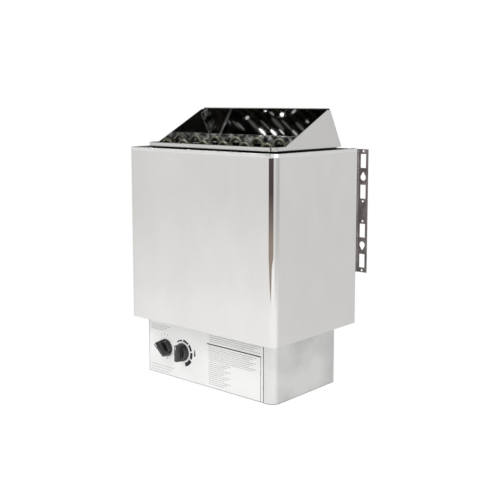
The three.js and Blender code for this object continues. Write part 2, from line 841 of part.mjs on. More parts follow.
// Control box shell: back, sides and a rounded right-hand front corner, open where the fascia sits
function boxShell() {
  const behindFascia = boxFrontY + plateThickness + clearance;
  const line = [
    [boxHalf - cornerReturn, boxFrontY],
    [boxHalf, boxFrontY],
    [boxHalf, boxBackY],
    [-boxHalf, boxBackY],
    [-boxHalf, behindFascia],
    [-boxHalf + leftReturn, behindFascia],
  ];
  const bends = [boxCorner - sheet, bendRadius, bendRadius, bendRadius];
  const wrap = alongZ(bentSheet(line, bends, sheet), 0, chassisBottom - clearance, 3);
  const wall = [boxBackY - 2 * sheet, boxBackY + sheet];
  const glandHole = boreAlongY(glandThread + clearance, ...wall, glandX, glandHeight, 24);
  const tubeHole = boreAlongY(capillaryRadius + clearance, ...wall, thermostatX, dialHeight);
  return cut(wrap, glandHole, tubeHole, ...coverScrewHoles(...wall));
}

piece("control_box_shell", boxShell(), satinSteel, controls);

// Fascia: the flat front plate, turned back at its right-hand edge above the bottom cover
function fascia() {
  const turnBack = boxFrontY + fasciaReturn;
  const line = [[-boxHalf, boxFrontY], [fasciaRight, boxFrontY], [fasciaRight, turnBack]];
  const plate = alongZ(bentSheet(line, [bendRadius], plateThickness), 0, chassisBottom - clearance);
  const deep = [boxFrontY - 1, boxFrontY + plateThickness + 1];
  const holeRadius = collarRadius + clearance;
  const holes = [timerX, thermostatX].map((x) => boreAlongY(holeRadius, ...deep, x, dialHeight, 16));
  const behind = boxFrontY + plateThickness + clearance;
  const notch = block(fasciaRight - fasciaReturn, fasciaRight + 1, behind, turnBack + 1, -1, coverFlange);
  return cut(plate, ...holes, notch);
}
piece("fascia_plate", fascia(), whitePaint, controls);

// Bottom cover: a tray floor with upturned sides, vents and the reset hole
function bottomCover() {
  const front = boxFrontY + plateThickness + 2 * clearance + sheet;
  const side = boxHalf - sheet - clearance;
  const rear = boxBackY - sheet - clearance;
  const corner = boxCorner - sheet;
  const floor = new THREE.Shape();
  const quarter = Math.PI / 2;
  floor.absarc(-side + bendRadius, front + bendRadius, bendRadius, 2 * quarter, 3 * quarter, false);
  floor.absarc(side - corner, front + corner, corner, -quarter, 0, false);
  floor.absarc(side - bendRadius, rear - bendRadius, bendRadius, 0, quarter, false);
  floor.absarc(-side + bendRadius, rear - bendRadius, bendRadius, quarter, 2 * quarter, false);
  const y0 = front + corner;
  const tray = join(
    alongZ(floor, 0, sheet),
    block(-side, -side + sheet, y0, rear - bendRadius, 0, coverFlange),
    block(side - sheet, side, y0, rear - bendRadius, 0, coverFlange),
    block(-side + bendRadius, side - bendRadius, rear - sheet, rear, 0, coverFlange),
  );
  const ventPitch = (2 * side) / (ventCount + 1);
  const vents = centred(ventCount, ventPitch).flatMap((x) =>
    [front + ventInset, rear - ventInset].map((y) =>
      block(x - ventLength / 2, x + ventLength / 2, y - ventWidth / 2, y + ventWidth / 2, -1, 2 * sheet),
    ),
  );
  const reset = bore(buttonRadius + 2 * clearance, -1, 2 * sheet, limiterX, limiterY);
  return cut(tray, ...vents, reset, ...coverScrewHoles(rear - 2 * sheet, rear + sheet));
}

piece("bottom_cover", bottomCover(), satinSteel, controls);
coverScrewPlaces.forEach((x, i) => {
  const screw = piece(`cover_screw_${i + 1}`, panScrew(4 * sheet), satinSteel, controls);
  screw.position.set(x, boxBackY + clearance, coverScrewHeight);
  screw.rotation.x = -Math.PI / 2;
});

// Each dial has a group whose local +Z points out of the fascia
function dialGroup(x) {
  const group = new THREE.Group();
  group.position.set(x, boxFrontY, dialHeight);
  group.rotation.x = Math.PI / 2;
  controls.add(group);
  return group;
}
const timerDial = dialGroup(timerX);
const thermostatDial = dialGroup(thermostatX);

// Knob: a thin skirt, a domed boss and a tall grip with flared flanks and a pointer groove
function knob() {
  const skirtTop = knobGap + knobSkirt;
  const base = turned([
    [0, knobGap],
    [knobRadius, knobGap],
    [knobRadius, knobGap + knobSkirt / 2],
    [knobRadius - knobSkirt / 2, skirtTop],
    [bossRadius, skirtTop],
    [bossRadius - knobEdge / 2, bossHeight],
    [bossRadius - 2 * knobEdge, bossHeight + knobEdge],
    [0, bossHeight + knobEdge],
  ], 24);
  const foot = gripFoot / 2;
  const top = gripTop / 2;
  const waist = bossHeight + knobEdge;
  const flank = new THREE.Shape();
  flank.moveTo(-foot, skirtTop - knobSkirt / 2);
  flank.lineTo(foot, skirtTop - knobSkirt / 2);
  flank.lineTo(foot, bossHeight);
  flank.quadraticCurveTo(top, waist, top, knobHeight - knobEdge);
  flank.quadraticCurveTo(top, knobHeight, top - knobEdge, knobHeight);
  flank.lineTo(-top + knobEdge, knobHeight);
  flank.quadraticCurveTo(-top, knobHeight, -top, knobHeight - knobEdge);
  flank.quadraticCurveTo(-top, waist, -foot, bossHeight);
  const end = gripLength / 2;
  const bar = alongY(flank, -end, end, 3);
  const envelope = turned([
    [0, 0],
    [end + knobEdge / 2, 0],
    [end, knobHeight - knobEdge],
    [end - knobEdge, knobHeight],
    [0, knobHeight],
  ], 24);
  const socket = bore(shaftRadius + clearance, 0, shaftReach + 1);
  const half = pointerWidth / 2;
  const groove = block(-half, half, end - pointerLength, end + 1, knobHeight - pointerDepth, knobHeight + 1);
  return cut(join(base, bar.intersect(envelope)), socket, groove);
}

function shaft() {
  return rod(shaftRadius, unitFront - shaftSink, shaftReach, 0, 0, 16);
}

piece("timer_knob", knob(), blackPlastic, timerDial).rotation.z = timerTurn;
piece("timer_shaft", shaft(), satinSteel, timerDial);
piece("thermostat_knob", knob(), blackPlastic, thermostatDial);
piece("thermostat_shaft", shaft(), satinSteel, thermostatDial);

// Timer unit: clockwork case on a collar, with a row of terminal blades behind
const bladePlaces = [-1, 0, 1].map((k) => k * timerSize / 4);
function timerUnit() {
  const half = timerSize / 2;
  const w = bladeWidth / 2;
  const t = bladeThickness / 2;
  const rear = unitFront - timerDepth;
  const parts = [
    alongZ(roundedPlate(-half, half, -half, half, caseCorner), rear, unitFront),
    rod(collarRadius, unitFront - 1, 0),
    ...bladePlaces.map((x) => block(x - w, x + w, -t, t, rear - bladeLength, rear + 1)),
  ];
  return cut(join(...parts), bore(shaftRadius + clearance, unitFront - shaftSink - 1, 1));
}
piece("timer_unit", timerUnit(), darkPlastic, timerDial);

// Thermostat unit: switch case on a collar, with a round diaphragm capsule behind
function thermostatUnit() {
  const w = thermostatWidth / 2;
  const h = thermostatHeight / 2;
  const rear = unitFront - thermostatDepth;
  const parts = [
    alongZ(roundedPlate(-w, w, -h, h, caseCorner), rear, unitFront),
    rod(collarRadius, unitFront - 1, 0),
    rod(capsuleRadius, rear - capsuleDepth, rear + 1, 0, 0, 24),
  ];
  return cut(join(...parts), bore(shaftRadius + clearance, unitFront - shaftSink - 1, 1));
}
piece("thermostat_unit", thermostatUnit(), darkPlastic, thermostatDial);

// Sensor tube: capillary from the capsule through the back wall to a bulb in the incoming air
const bulbY = boxBackY + bulbSetout;
const bulbZ = chassisBottom - bulbDrop;
const bulbStart = thermostatX + bulbOffset;
const capsuleRear = boxFrontY - unitFront + thermostatDepth + capsuleDepth;
function sensorTube() {
  const route = [
    [thermostatX, capsuleRear + clearance, dialHeight],
    [thermostatX, bulbY, dialHeight],
    [thermostatX, bulbY, bulbZ],
    [bulbStart + 1, bulbY, bulbZ],
  ];
  const taper = bulbRadius / 2;
  const bulb = new THREE.LatheGeometry(
    [
      [0, 0],
      [taper, 0],
      [bulbRadius, taper],
      [bulbRadius, bulbLength - taper],
      [taper, bulbLength],
      [0, bulbLength],
    ].map(([r, length]) => new THREE.Vector2(r, length)),
    12,
  );
  bulb.rotateZ(-Math.PI / 2).translate(bulbStart, bulbY, bulbZ);
  return join(tube(route, 3 * capillaryRadius, capillaryRadius, 8, 4), solid(bulb));
}
piece("sensor_tube", sensorTube(), copper, controls);

// Sensor clips: straps that hang the bulb under the chassis plate
function sensorClip(x) {
  const ring = disc(bulbRadius + clearance + sheet, 16);
  ring.holes.push(disc(bulbRadius + clearance, 16));
  const strap = extrude(ring, clipWidth);
  strap.rotateY(Math.PI / 2).translate(x - clipWidth / 2, bulbY, bulbZ);
  const top = chassisBottom - clearance;
  const x0 = x - clipWidth / 2;
  const x1 = x0 + clipWidth;
  const webEnd = bulbY + sheet / 2;
  const web = block(x0, x1, webEnd - sheet, webEnd, bulbZ + bulbRadius + 2 * clearance, top);
  const foot = block(x0, x1, boxBackY + sheet, webEnd, top - sheet, top);
  return join(solid(strap), web, foot);
}
[0.25, 0.75].forEach((share, i) => {
  piece(`sensor_clip_${i + 1}`, sensorClip(bulbStart + share * bulbLength), satinSteel, controls);
});

// Overheat limiter: a round case on the bottom cover with a push-to-reset button
function limiterUnit() {
  const depth = buttonRecess + buttonLength + buttonTravel + clearance;
  const flangeTop = coverTop + 2 * sheet;
  const body = turned([
    [0, coverTop],
    [limiterFlange, coverTop],
    [limiterFlange, flangeTop],
    [limiterRadius, flangeTop],
    [limiterRadius, coverTop + limiterHeight],
    [0, coverTop + limiterHeight],
  ], 20);
  return cut(body, bore(buttonRadius + clearance, 0, depth, 0, 0, 16));
}
piece("limiter_unit", limiterUnit(), darkPlastic, controls).position.set(limiterX, limiterY, 0);

function resetButton() {
  const top = buttonRecess + buttonLength;
  const round = buttonRadius / 4;
  return turned([
    [0, buttonRecess],
    [buttonRadius - round, buttonRecess],
    [buttonRadius, buttonRecess + round],
    [buttonRadius, top],
    [0, top],
  ], 16);
}
piece("reset_button", resetButton(), redPlastic, controls).position.set(limiterX, limiterY, 0);

// Terminal block: stepped body with a screw well and a wire entry for each way
function terminalBlock() {
  const half = (terminalWays * terminalPitch) / 2;
  const step = terminalHeight * 0.6;
  const base = coverTop;
  const deep = terminalDepth / 2;
  const section = outline([
    [-deep, base],
    [deep, base],
    [deep, base + step],
    [deep / 2, base + terminalHeight],
    [-deep / 2, base + terminalHeight],
    [-deep, base + step],
  ]);
  const tools = centred(terminalWays, terminalPitch).flatMap((x) => [
    bore(terminalPitch / 4, base + step, base + terminalHeight + 1, x, 0, 8),
    boreAlongY(terminalPitch / 5, -deep - 1, -deep / 2, x, base + step / 2, 6),
    boreAlongY(terminalPitch / 5, deep / 2, deep + 1, x, base + step / 2, 6),
  ]);
  return cut(alongX(section, -half, half), ...tools);
}
piece("terminal_block", terminalBlock(), palePlastic, controls).position.set(terminalX, limiterY, 0);

// Cable gland: hexagon, domed cap and thread through the back wall, with its lock nut inside
function cableGland() {
  const collar = glandLength / 3;
  const body = turned([
    [0, -glandThreadLength],
    [glandThread, -glandThreadLength],
    [glandThread, clearance],
    [glandThread + 1, clearance],
    [glandThread + 1, collar],
    [glandThread + 2, collar],
    [glandThread + 2, 0.8 * glandLength],
    [glandThread - 1, glandLength],
    [0, glandLength],
  ]);
  const hexagon = alongZ(disc(glandHex, 6), clearance, collar - sheet);
  return cut(join(body, hexagon), bore(glandBore, -glandThreadLength - 1, glandLength + 1));
}

const gland = new THREE.Group();
gland.position.set(glandX, boxBackY, glandHeight);
gland.rotation.x = -Math.PI / 2;
controls.add(gland);
piece("cable_gland", cableGland(), darkPlastic, gland);
const glandNut = piece("gland_nut", hexNut(glandHex, glandThread, glandNutHeight), darkPlastic, gland);
glandNut.position.z = -sheet - clearance - glandNutHeight;

// Phase leads: insulated wires from the timer's blades to the front end of each element
function phaseLead(i) {
  const startX = timerX + bladePlaces[i];
  const startY = boxFrontY - unitFront + timerDepth + bladeLength + clearance;
  const laneY = startY + 3 * leadPitch - i * leadPitch;
  const laneZ = pinBottom - 8 * leadRadius;
  const endX = elementPlaces[i] + terminalLegX;
  return tube([
    [startX, startY, dialHeight],
    [startX, laneY, dialHeight],
    [startX, laneY, laneZ],
    [endX, laneY, laneZ],
    [endX, frontRowY, laneZ],
    [endX, frontRowY, pinBottom - clearance],
  ], 2.5 * leadRadius, leadRadius, 6, 3);
}
bladePlaces.forEach((_, i) => {
  piece(`phase_lead_${i + 1}`, phaseLead(i), darkPlastic, controls);
});

export default heater;
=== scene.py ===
import json
import math

import bmesh
import bpy
from mathutils import Matrix, Vector


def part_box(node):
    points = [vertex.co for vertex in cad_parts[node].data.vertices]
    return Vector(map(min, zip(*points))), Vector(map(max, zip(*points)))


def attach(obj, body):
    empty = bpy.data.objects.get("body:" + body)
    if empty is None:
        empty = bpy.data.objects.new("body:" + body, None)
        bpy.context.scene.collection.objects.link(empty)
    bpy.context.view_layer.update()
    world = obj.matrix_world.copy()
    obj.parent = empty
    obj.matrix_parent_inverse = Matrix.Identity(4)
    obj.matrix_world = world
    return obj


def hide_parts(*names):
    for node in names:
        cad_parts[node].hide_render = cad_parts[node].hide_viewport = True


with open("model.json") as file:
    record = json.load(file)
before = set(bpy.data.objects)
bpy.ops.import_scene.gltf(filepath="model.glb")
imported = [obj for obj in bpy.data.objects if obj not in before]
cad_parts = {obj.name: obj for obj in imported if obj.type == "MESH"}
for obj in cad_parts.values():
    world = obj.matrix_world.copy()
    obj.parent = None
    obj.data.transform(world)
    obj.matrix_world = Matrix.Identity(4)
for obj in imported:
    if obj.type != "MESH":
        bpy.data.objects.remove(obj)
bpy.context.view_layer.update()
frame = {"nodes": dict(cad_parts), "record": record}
nodes = frame["nodes"]
scene = bpy.context.scene
mm = 0.001
tiny = 1e-5
mainBody = "heater_body"
standUp = Matrix.Rotation(math.radians(90), 4, "X")   # from lying flat to facing the front
print("frame loaded:", len(nodes), "nodes")


# camera: from the front right, tipped down a little, with the view slid down onto the heater
cameraView = {
    "place": (1.2338, -1.3890, 0.5965),
    "yaw": 41.112,
    "pitchDown": 7.162,
    "lens": 63.077,
    "sensor": 36.0,
    "shiftDown": 0.08,
}


def addCamera():
    lens = bpy.data.cameras.new("camera")
    lens.lens = cameraView["lens"]
    lens.sensor_width = cameraView["sensor"]
    lens.shift_y = -cameraView["shiftDown"]
    camera = bpy.data.objects.new("camera", lens)
    camera.location = cameraView["place"]
    tip = math.radians(90 - cameraView["pitchDown"])
    camera.rotation_euler = (tip, 0, math.radians(cameraView["yaw"]))
    scene.collection.objects.link(camera)
    scene.camera = camera


addCamera()
print("camera set")


# studio: white to the camera, soft bands in the polish, and lamps out of sight
studio = {
    "white": 1.0,
    "roomLight": 0.5,
    "bands": (   # heights the band fades in over, level in front, and levels by degrees to the right
        (None, 0.86,
         ((-49, 0.78), (-36, 0.81), (-24, 0.77), (-10, 0.62), (22, 0.60), (42, 0.79))),
        ((-0.105, -0.165), 0.945,
         ((-49, 0.86), (-36, 0.94), (-24, 0.74), (-10, 0.67), (22, 0.71), (42, 0.79))),
        ((-0.165, -0.2), 0.975,
         ((-70, 0.98), (-60, 1.24), (-45, 1.12), (-33, 0.98),
          (-20, 0.74), (-4, 0.86), (10, 0.88), (24, 0.79))),
        ((-0.205, -0.24), 1.05,
         ((-76, 1.11), (-20, 1.11), (-6, 1.04), (8, 0.92), (23, 0.81), (42, 0.79))),
    ),
    "front": ((-141, 0.94), (-137, 1), (-118, 1)),   # degrees, and shares of the level in front
    "behind": (120, 0.80),
    "warmth": 0.995,
    "overhead": (0.30, 0.30, 0.31, 1),
    "overheadFrom": (0.22, 0.55),
    "lampPower": 13,
    "lamps": (   # name, place, width, share of the power and aim
        ("lampOverhead", (-0.4, -0.9, 2.6), 2.2, 2.4, (0, 0, 0.3)),
        ("lampLeft", (-2.2, -1.8, 1.8), 1.8, 1.0, (0, 0, 0.3)),
        ("lampRight", (2.3, -0.9, 1.6), 1.6, 0.4, (0, 0, 0.3)),
        ("lampLow", (-0.3, -2.4, 0.0), 1.2, 1.75, (0, 0, 0.06)),
    ),
    "keyPower": 3.5,
    "keys": (
        ("keyRight", (2.0, -0.7, 0.85), 0.1, (0, 0, 0.3)),
        ("keyAbove", (-0.5, -0.9, 1.9), 0.15, (0, 0, 0.3)),
    ),
    "glintWay": (0.63, 0.40, 0.66),
    "glints": (   # place in millimetres, width, height and level of each
        (-5.5, 38.5, 510, 8, 8, 0.5), (-40, 41, 528, 4, 4, 0.4), (34, 36, 520, 14, 5, 0.10),
        (62, 48, 498, 4, 8, 0.10), (-73, 65, 478, 5, 21, 0.45), (-41, 65, 476, 5.5, 18, 0.45),
        (-16, 64, 478, 3, 16, 0.22), (21, 65, 476, 5, 18, 0.10), (-111, 44, 503, 9, 7, 0.14),
        (-138, 57, 486, 3, 26, 0.05), (-152, 54, 489, 2.5, 24, 0.03), (-176, 48, 498, 3.5, 26, 0.04),
        (-30, 40, 516, 4, 12, 0.06), (-97, 54, 489, 7, 34, 0.018), (-58, 56, 487, 4, 40, 0.022),
        (-24, 52, 492, 8, 38, 0.016), (2, 54, 490, 4, 34, 0.024), (40, 56, 487, 6, 30, 0.02),
    ),
}


def addRamp(tree, stops):
    ramp = tree.nodes.new("ShaderNodeValToRGB")
    spots = ramp.color_ramp.elements
    while len(spots) < len(stops):
        spots.new(0.5)
    for spot, stop in zip(spots, stops):
        spot.position = stop[0]
    for spot, stop in zip(spots, stops):
        spot.color = stop[1]
    return ramp


# levels of the room by azimuth
def roomStops(front, corner):
    before = [(angle, share * front) for angle, share in studio["front"]]
    levels = (*before, *corner, studio["behind"])
    return [((angle + 180) / 360, (level, level, studio["warmth"] * level, 1)) for angle, level in levels]


# one colour of the room giving way to the next between two heights
def blendUp(tree, split, colour, ramp, between):
    height = tree.nodes.new("ShaderNodeMapRange")
    height.inputs["From Min"].default_value = between[0]
    height.inputs["From Max"].default_value = between[1]
    tree.links.new(split.outputs["Z"], height.inputs["Value"])
    mix = tree.nodes.new("ShaderNodeMix")
    mix.data_type = "RGBA"
    mix.inputs["B"].default_value = studio["overhead"]
    tree.links.new(height.outputs["Result"], mix.inputs["Factor"])
    tree.links.new(colour, mix.inputs["A"])
    if ramp:
        tree.links.new(ramp.outputs["Color"], mix.inputs["B"])
    return mix.outputs["Result"]


def addWorld():
    world = bpy.data.worlds.new("studio")
    scene.world = world
    world.use_nodes = True
    tree = world.node_tree
    tree.nodes.clear()
    add = tree.nodes.new
    link = tree.links.new
    rays = add("ShaderNodeLightPath")
    way = add("ShaderNodeTexCoord")
    split = add("ShaderNodeSeparateXYZ")
    link(way.outputs["Generated"], split.inputs[0])
    turn = add("ShaderNodeMath")
    turn.operation = "ARCTAN2"
    link(split.outputs["Y"], turn.inputs[0])
    link(split.outputs["X"], turn.inputs[1])
    share = add("ShaderNodeMapRange")
    share.inputs["From Min"].default_value = -math.pi
    share.inputs["From Max"].default_value = math.pi
    link(turn.outputs[0], share.inputs["Value"])
    colour = None
    for between, front, corner in studio["bands"]:
        ramp = addRamp(tree, roomStops(front, corner))
        link(share.outputs["Result"], ramp.inputs["Fac"])
        colour = blendUp(tree, split, colour, ramp, between) if between else ramp.outputs["Color"]
    colour = blendUp(tree, split, colour, None, studio["overheadFrom"])
    room = add("ShaderNodeBackground")
    link(colour, room.inputs["Color"])
    soft = add("ShaderNodeBackground")
    soft.inputs["Color"].default_value = (1, 1, 1, 1)
    soft.inputs["Strength"].default_value = studio["roomLight"]
    bright = add("ShaderNodeBackground")
    bright.inputs["Color"].default_value = (1, 1, 1, 1)
    bright.inputs["Strength"].default_value = studio["white"]
    shiny = add("ShaderNodeMixShader")
    link(rays.outputs["Is Glossy Ray"], shiny.inputs["Fac"])
    link(soft.outputs[0], shiny.inputs[1])
    link(room.outputs[0], shiny.inputs[2])
    seen = add("ShaderNodeMixShader")
    link(rays.outputs["Is Camera Ray"], seen.inputs["Fac"])
    link(shiny.outputs[0], seen.inputs[1])
    link(bright.outputs[0], seen.inputs[2])
    out = add("ShaderNodeOutputWorld")
    link(seen.outputs[0], out.inputs["Surface"])


# glossy lamps show only in the polish
def addLamp(name, place, size, power, aim, glossy=False):
    data = bpy.data.lights.new(name, "AREA")
    data.shape = "ELLIPSE" if glossy else "RECTANGLE"
    data.spread = math.radians(90 if glossy else 180)
    data.size, data.size_y = size
    data.energy = power
    lamp = bpy.data.objects.new(name, data)
    lamp.location = place
    lamp.rotation_euler = (Vector(aim) - Vector(place)).to_track_quat("-Z", "Y").to_euler()
    lamp.visible_camera = False
    lamp.visible_glossy = glossy
    lamp.visible_diffuse = not glossy
    scene.collection.objects.link(lamp)


# light that finds its way in between the elements and glints in the hood's rear wall
def addGlints():
    way = Vector(studio["glintWay"])
    for number, (x, y, z, wide, tall, level) in enumerate(studio["glints"]):
        place = Vector((x, y, z)) * mm
        size = (wide * mm, tall * mm)
        power = math.pi * size[0] * size[1] * level
        addLamp(f"glint{number + 1}", place, size, power, place + way, glossy=True)


# a dark card by the near corner, seen only as a stripe in the polish
cardShape = {
    "front": -148,
    "outlines": (   # across and up, in millimetres
        ((186.1, 488.1), (208.5, 488.1), (208.5, 301), (199.9, 280.5), (197.6, 243),
         (194.9, 211), (191.1, 243), (188.1, 280), (186.1, 301)),
        ((175, 494), (193, 494), (193, 513), (175, 513)),
    ),
    "shades": (   # height in metres, and colour
        (0.205, (0.42, 0.33, 0.28, 1)), (0.322, (0.37, 0.31, 0.27, 1)), (0.424, (0.10, 0.075, 0.075, 1)),
    ),
}


def addCard():
    bm = bmesh.new()
    for outline in cardShape["outlines"]:
        bm.faces.new([bm.verts.new(Vector((x, cardShape["front"], z)) * mm) for x, z in outline])
    mesh = bpy.data.meshes.new("darkCard")
    bm.to_mesh(mesh)
    bm.free()
    card = bpy.data.objects.new("darkCard", mesh)
    scene.collection.objects.link(card)
    material = bpy.data.materials.new("darkCard")
    material.use_nodes = True
    tree = material.node_tree
    tree.nodes.clear()
    coords = tree.nodes.new("ShaderNodeTexCoord")
    split = tree.nodes.new("ShaderNodeSeparateXYZ")
    ramp = addRamp(tree, cardShape["shades"])
    glow = tree.nodes.new("ShaderNodeEmission")
    out = tree.nodes.new("ShaderNodeOutputMaterial")
    tree.links.new(coords.outputs["Object"], split.inputs[0])
    tree.links.new(split.outputs["Z"], ramp.inputs["Fac"])
    tree.links.new(ramp.outputs["Color"], glow.inputs["Color"])
    tree.links.new(glow.outputs[0], out.inputs["Surface"])
    mesh.materials.append(material)
    card.visible_camera = False
    card.visible_diffuse = False
    card.visible_shadow = False
    card.visible_transmission = False


addWorld()
addCard()
scene.view_settings.view_transform = "Standard"
for name, place, size, share, aim in studio["lamps"]:
    addLamp(name, place, (size, size), share * studio["lampPower"], aim)
for name, place, size, aim in studio["keys"]:
    addLamp(name, place, (size, size), studio["keyPower"], aim, glossy=True)
addGlints()
print("studio set")


# finishes: a shader each, with noise on object coordinates
class Finish:
    def __init__(self, name, colour, metallic=0.0, roughness=0.5):
        self.material = bpy.data.materials.new(name)
        self.material.use_nodes = True
        self.material.diffuse_color = (*colour, 1)
        self.tree = self.material.node_tree
        self.shader = self.tree.nodes["Principled BSDF"]
        self.shader.inputs["Base Color"].default_value = (*colour, 1)
        self.shader.inputs["Metallic"].default_value = metallic
        self.shader.inputs["Roughness"].default_value = roughness
        self.colour = colour

    def add(self, kind):
        return self.tree.nodes.new("ShaderNode" + kind)

    def link(self, source, target):
        self.tree.links.new(source, target)

    def place(self, scale):
        coords = self.add("TexCoord")
        mapping = self.add("Mapping")
        mapping.inputs["Scale"].default_value = scale
        self.link(coords.outputs["Object"], mapping.inputs["Vector"])
        return mapping.outputs["Vector"]

    def noise(self, scale, detail, rough=0.5):
        texture = self.add("TexNoise")
        texture.inputs["Scale"].default_value = 1
        texture.inputs["Detail"].default_value = detail
        texture.inputs["Roughness"].default_value = rough
        self.link(self.place(scale), texture.inputs["Vector"])
        return texture.outputs["Fac"]

    def spread(self, source, low, high, start=0.3, end=0.7):
        ranged = self.add("MapRange")
        ranged.inputs["From Min"].default_value = start
        ranged.inputs["From Max"].default_value = end
        ranged.inputs["To Min"].default_value = low
        ranged.inputs["To Max"].default_value = high
        self.link(source, ranged.inputs["Value"])
        return ranged.outputs["Result"]

    def tint(self, source, dark, light, start=0.3, end=0.7):
        ramp = self.add("ValToRGB")
        ramp.color_ramp.elements[0].position = start
        ramp.color_ramp.elements[0].color = (*dark, 1)
        ramp.color_ramp.elements[1].position = end
        ramp.color_ramp.elements[1].color = (*light, 1)
        self.link(source, ramp.inputs["Fac"])
        self.link(ramp.outputs["Color"], self.shader.inputs["Base Color"])

    def rough(self, source):
        self.link(source, self.shader.inputs["Roughness"])

    def bump(self, *layers):
        normal = None
        for source, strength, distance in layers:
            node = self.add("Bump")
            node.inputs["Strength"].default_value = strength
            node.inputs["Distance"].default_value = distance
            self.link(source, node.inputs["Height"])
            if normal is not None:
                self.link(normal, node.inputs["Normal"])
            normal = node.outputs["Normal"]
        self.link(normal, self.shader.inputs["Normal"])


def shade(colour, amount):
    return tuple(channel * amount for channel in colour)


# bright rolled sheet: long faint mill lines, slow ripples and a little handling haze
def polishedSteel(name, level, haziest):
    steel = Finish(name, shade((0.766, 0.757, 0.744), level), 1.0, 0.12)
    mill = steel.noise((900, 900, 6), 3.0)
    haze = steel.noise((7, 7, 4), 5.0, 0.6)
    ripple = steel.noise((7, 7, 3), 1.0)
    mix = steel.add("Math")
    mix.operation = "MULTIPLY_ADD"
    steel.link(haze, mix.inputs[0])
    mix.inputs[1].default_value = 0.7
    steel.link(mill, mix.inputs[2])
    steel.rough(steel.spread(mix.outputs[0], 0.03, haziest, 0.5, 1.2))
    steel.tint(haze, shade(steel.colour, 0.94), shade(steel.colour, 1.01), 0.3, 0.66)
    steel.bump((mill, 0.008, 0.0001), (ripple, 0.03, 0.002))
    return steel.material


# satin sheet: soft clouds from handling and rolling, with fine level grain
def satinSteel():
    steel = Finish("satinSteel", (0.712, 0.71, 0.706), 1.0, 0.3)
    grain = steel.noise((12, 12, 1400), 3.0)
    cloud = steel.noise((9, 9, 10), 3.0, 0.5)
    steel.rough(steel.spread(cloud, 0.24, 0.38))
    steel.tint(cloud, shade(steel.colour, 0.78), shade(steel.colour, 1.10), 0.32, 0.66)
    steel.bump((grain, 0.012, 0.0002), (cloud, 0.03, 0.003))
    return steel.material


# bright band behind the elements, with painted reflections: dark and light patches for what stands in front
# of it
def blotchedSteel():
    steel = Finish("blotchedSteel", (0.5, 0.5, 0.49), 1.0, 0.25)
    reflectionPatch = steel.noise((52, 52, 70), 3.0, 0.55)
    steel.rough(steel.spread(reflectionPatch, 0.18, 0.34))
    # painted reflections and shade: near-black to near-white patches for the elements in front
    steel.tint(reflectionPatch, (0.05, 0.05, 0.048), (0.95, 0.95, 0.94), 0.42, 0.62)
    steel.bump((reflectionPatch, 0.05, 0.002))
    return steel.material


# steel inside the furnace, dulled and darkened by heat
def heatedSteel(name):
    steel = Finish(name, (0.20, 0.19, 0.175), 1.0, 0.35)
    cloud = steel.noise((14, 14, 9), 5.0, 0.6)
    steel.rough(steel.spread(cloud, 0.22, 0.45))
    steel.tint(cloud, (0.09, 0.085, 0.08), (0.27, 0.26, 0.235), 0.3, 0.7)
    steel.bump((cloud, 0.05, 0.001))
    return steel


# the same steel on the liner, with painted shade (near black) just below its top edge and a painted
# highlight (pale grey) along the top edge
linerPaintedShade = {
    "between": (0.488, 0.500),
    "stops": (   # share of that height, colour and cover
        (0, (0, 0, 0, 0)), (0.1, (0, 0, 0, 1)), (0.88, (0.004, 0.004, 0.005, 1)), (0.94, (0.5, 0.5, 0.5, 1)),
    ),
}


def linerFinish():
    steel = heatedSteel("linerSteel")
    base = steel.shader.inputs["Base Color"]
    split = steel.add("SeparateXYZ")
    steel.link(steel.place((1, 1, 1)), split.inputs[0])
    # painted shade below the top edge, and a painted highlight on it
    ramp = addRamp(steel.tree, linerPaintedShade["stops"])
    steel.link(steel.spread(split.outputs["Z"], 0, 1, *linerPaintedShade["between"]), ramp.inputs["Fac"])
    mix = steel.add("Mix")
    mix.data_type = "RGBA"
    steel.link(base.links[0].from_socket, mix.inputs["A"])
    steel.link(ramp.outputs["Color"], mix.inputs["B"])
    steel.link(ramp.outputs["Alpha"], mix.inputs["Factor"])
    steel.link(mix.outputs["Result"], base)
    return steel.material


def bracketSteel():
    steel = Finish("bracketSteel", (0.17, 0.15, 0.15), 0.85, 0.42)
    scale = steel.noise((60, 60, 30), 6.0, 0.6)
    steel.rough(steel.spread(scale, 0.34, 0.58))
    steel.tint(scale, (0.13, 0.112, 0.11), (0.27, 0.24, 0.235))
    steel.bump((scale, 0.08, 0.0004))
    return steel.material


def elementSheath():
    sheath = Finish("elementSheath", (0.19, 0.19, 0.14), 0.75, 0.42)
    cloud = sheath.noise((40, 40, 25), 6.0, 0.65)
    fine = sheath.noise((700, 700, 300), 3.0)
    sheath.tint(cloud, (0.085, 0.085, 0.062), (0.24, 0.24, 0.185), 0.3, 0.72)
    sheath.rough(sheath.spread(cloud, 0.30, 0.55))
    sheath.bump((fine, 0.12, 0.0003))
    return sheath.material


def fasciaPaint(name, level):
    paint = Finish(name, shade((0.86, 0.86, 0.85), level), 0.0, 0.32)
    peel = paint.noise((420, 420, 420), 2.0)
    dust = paint.noise((9, 9, 14), 5.0)
    paint.tint(dust, shade(paint.colour, 0.95), shade(paint.colour, 1.02), 0.35, 0.6)
    paint.rough(paint.spread(dust, 0.26, 0.40))
    paint.bump((peel, 0.03, 0.0003))
    return paint.material


def mouldedPlastic(name, colour, low, high, grainSize, gloss=0.35):
    plastic = Finish(name, colour, 0.0, high)
    grain = plastic.noise((grainSize, grainSize, grainSize), 2.0)
    wear = plastic.noise((45, 45, 45), 5.0)
    plastic.rough(plastic.spread(wear, low, high))
    plastic.tint(wear, shade(colour, 0.8), shade(colour, 1.15), 0.3, 0.7)
    plastic.bump((grain, 0.06, 0.0002))
    plastic.shader.inputs["Specular IOR Level"].default_value = gloss
    return plastic.material


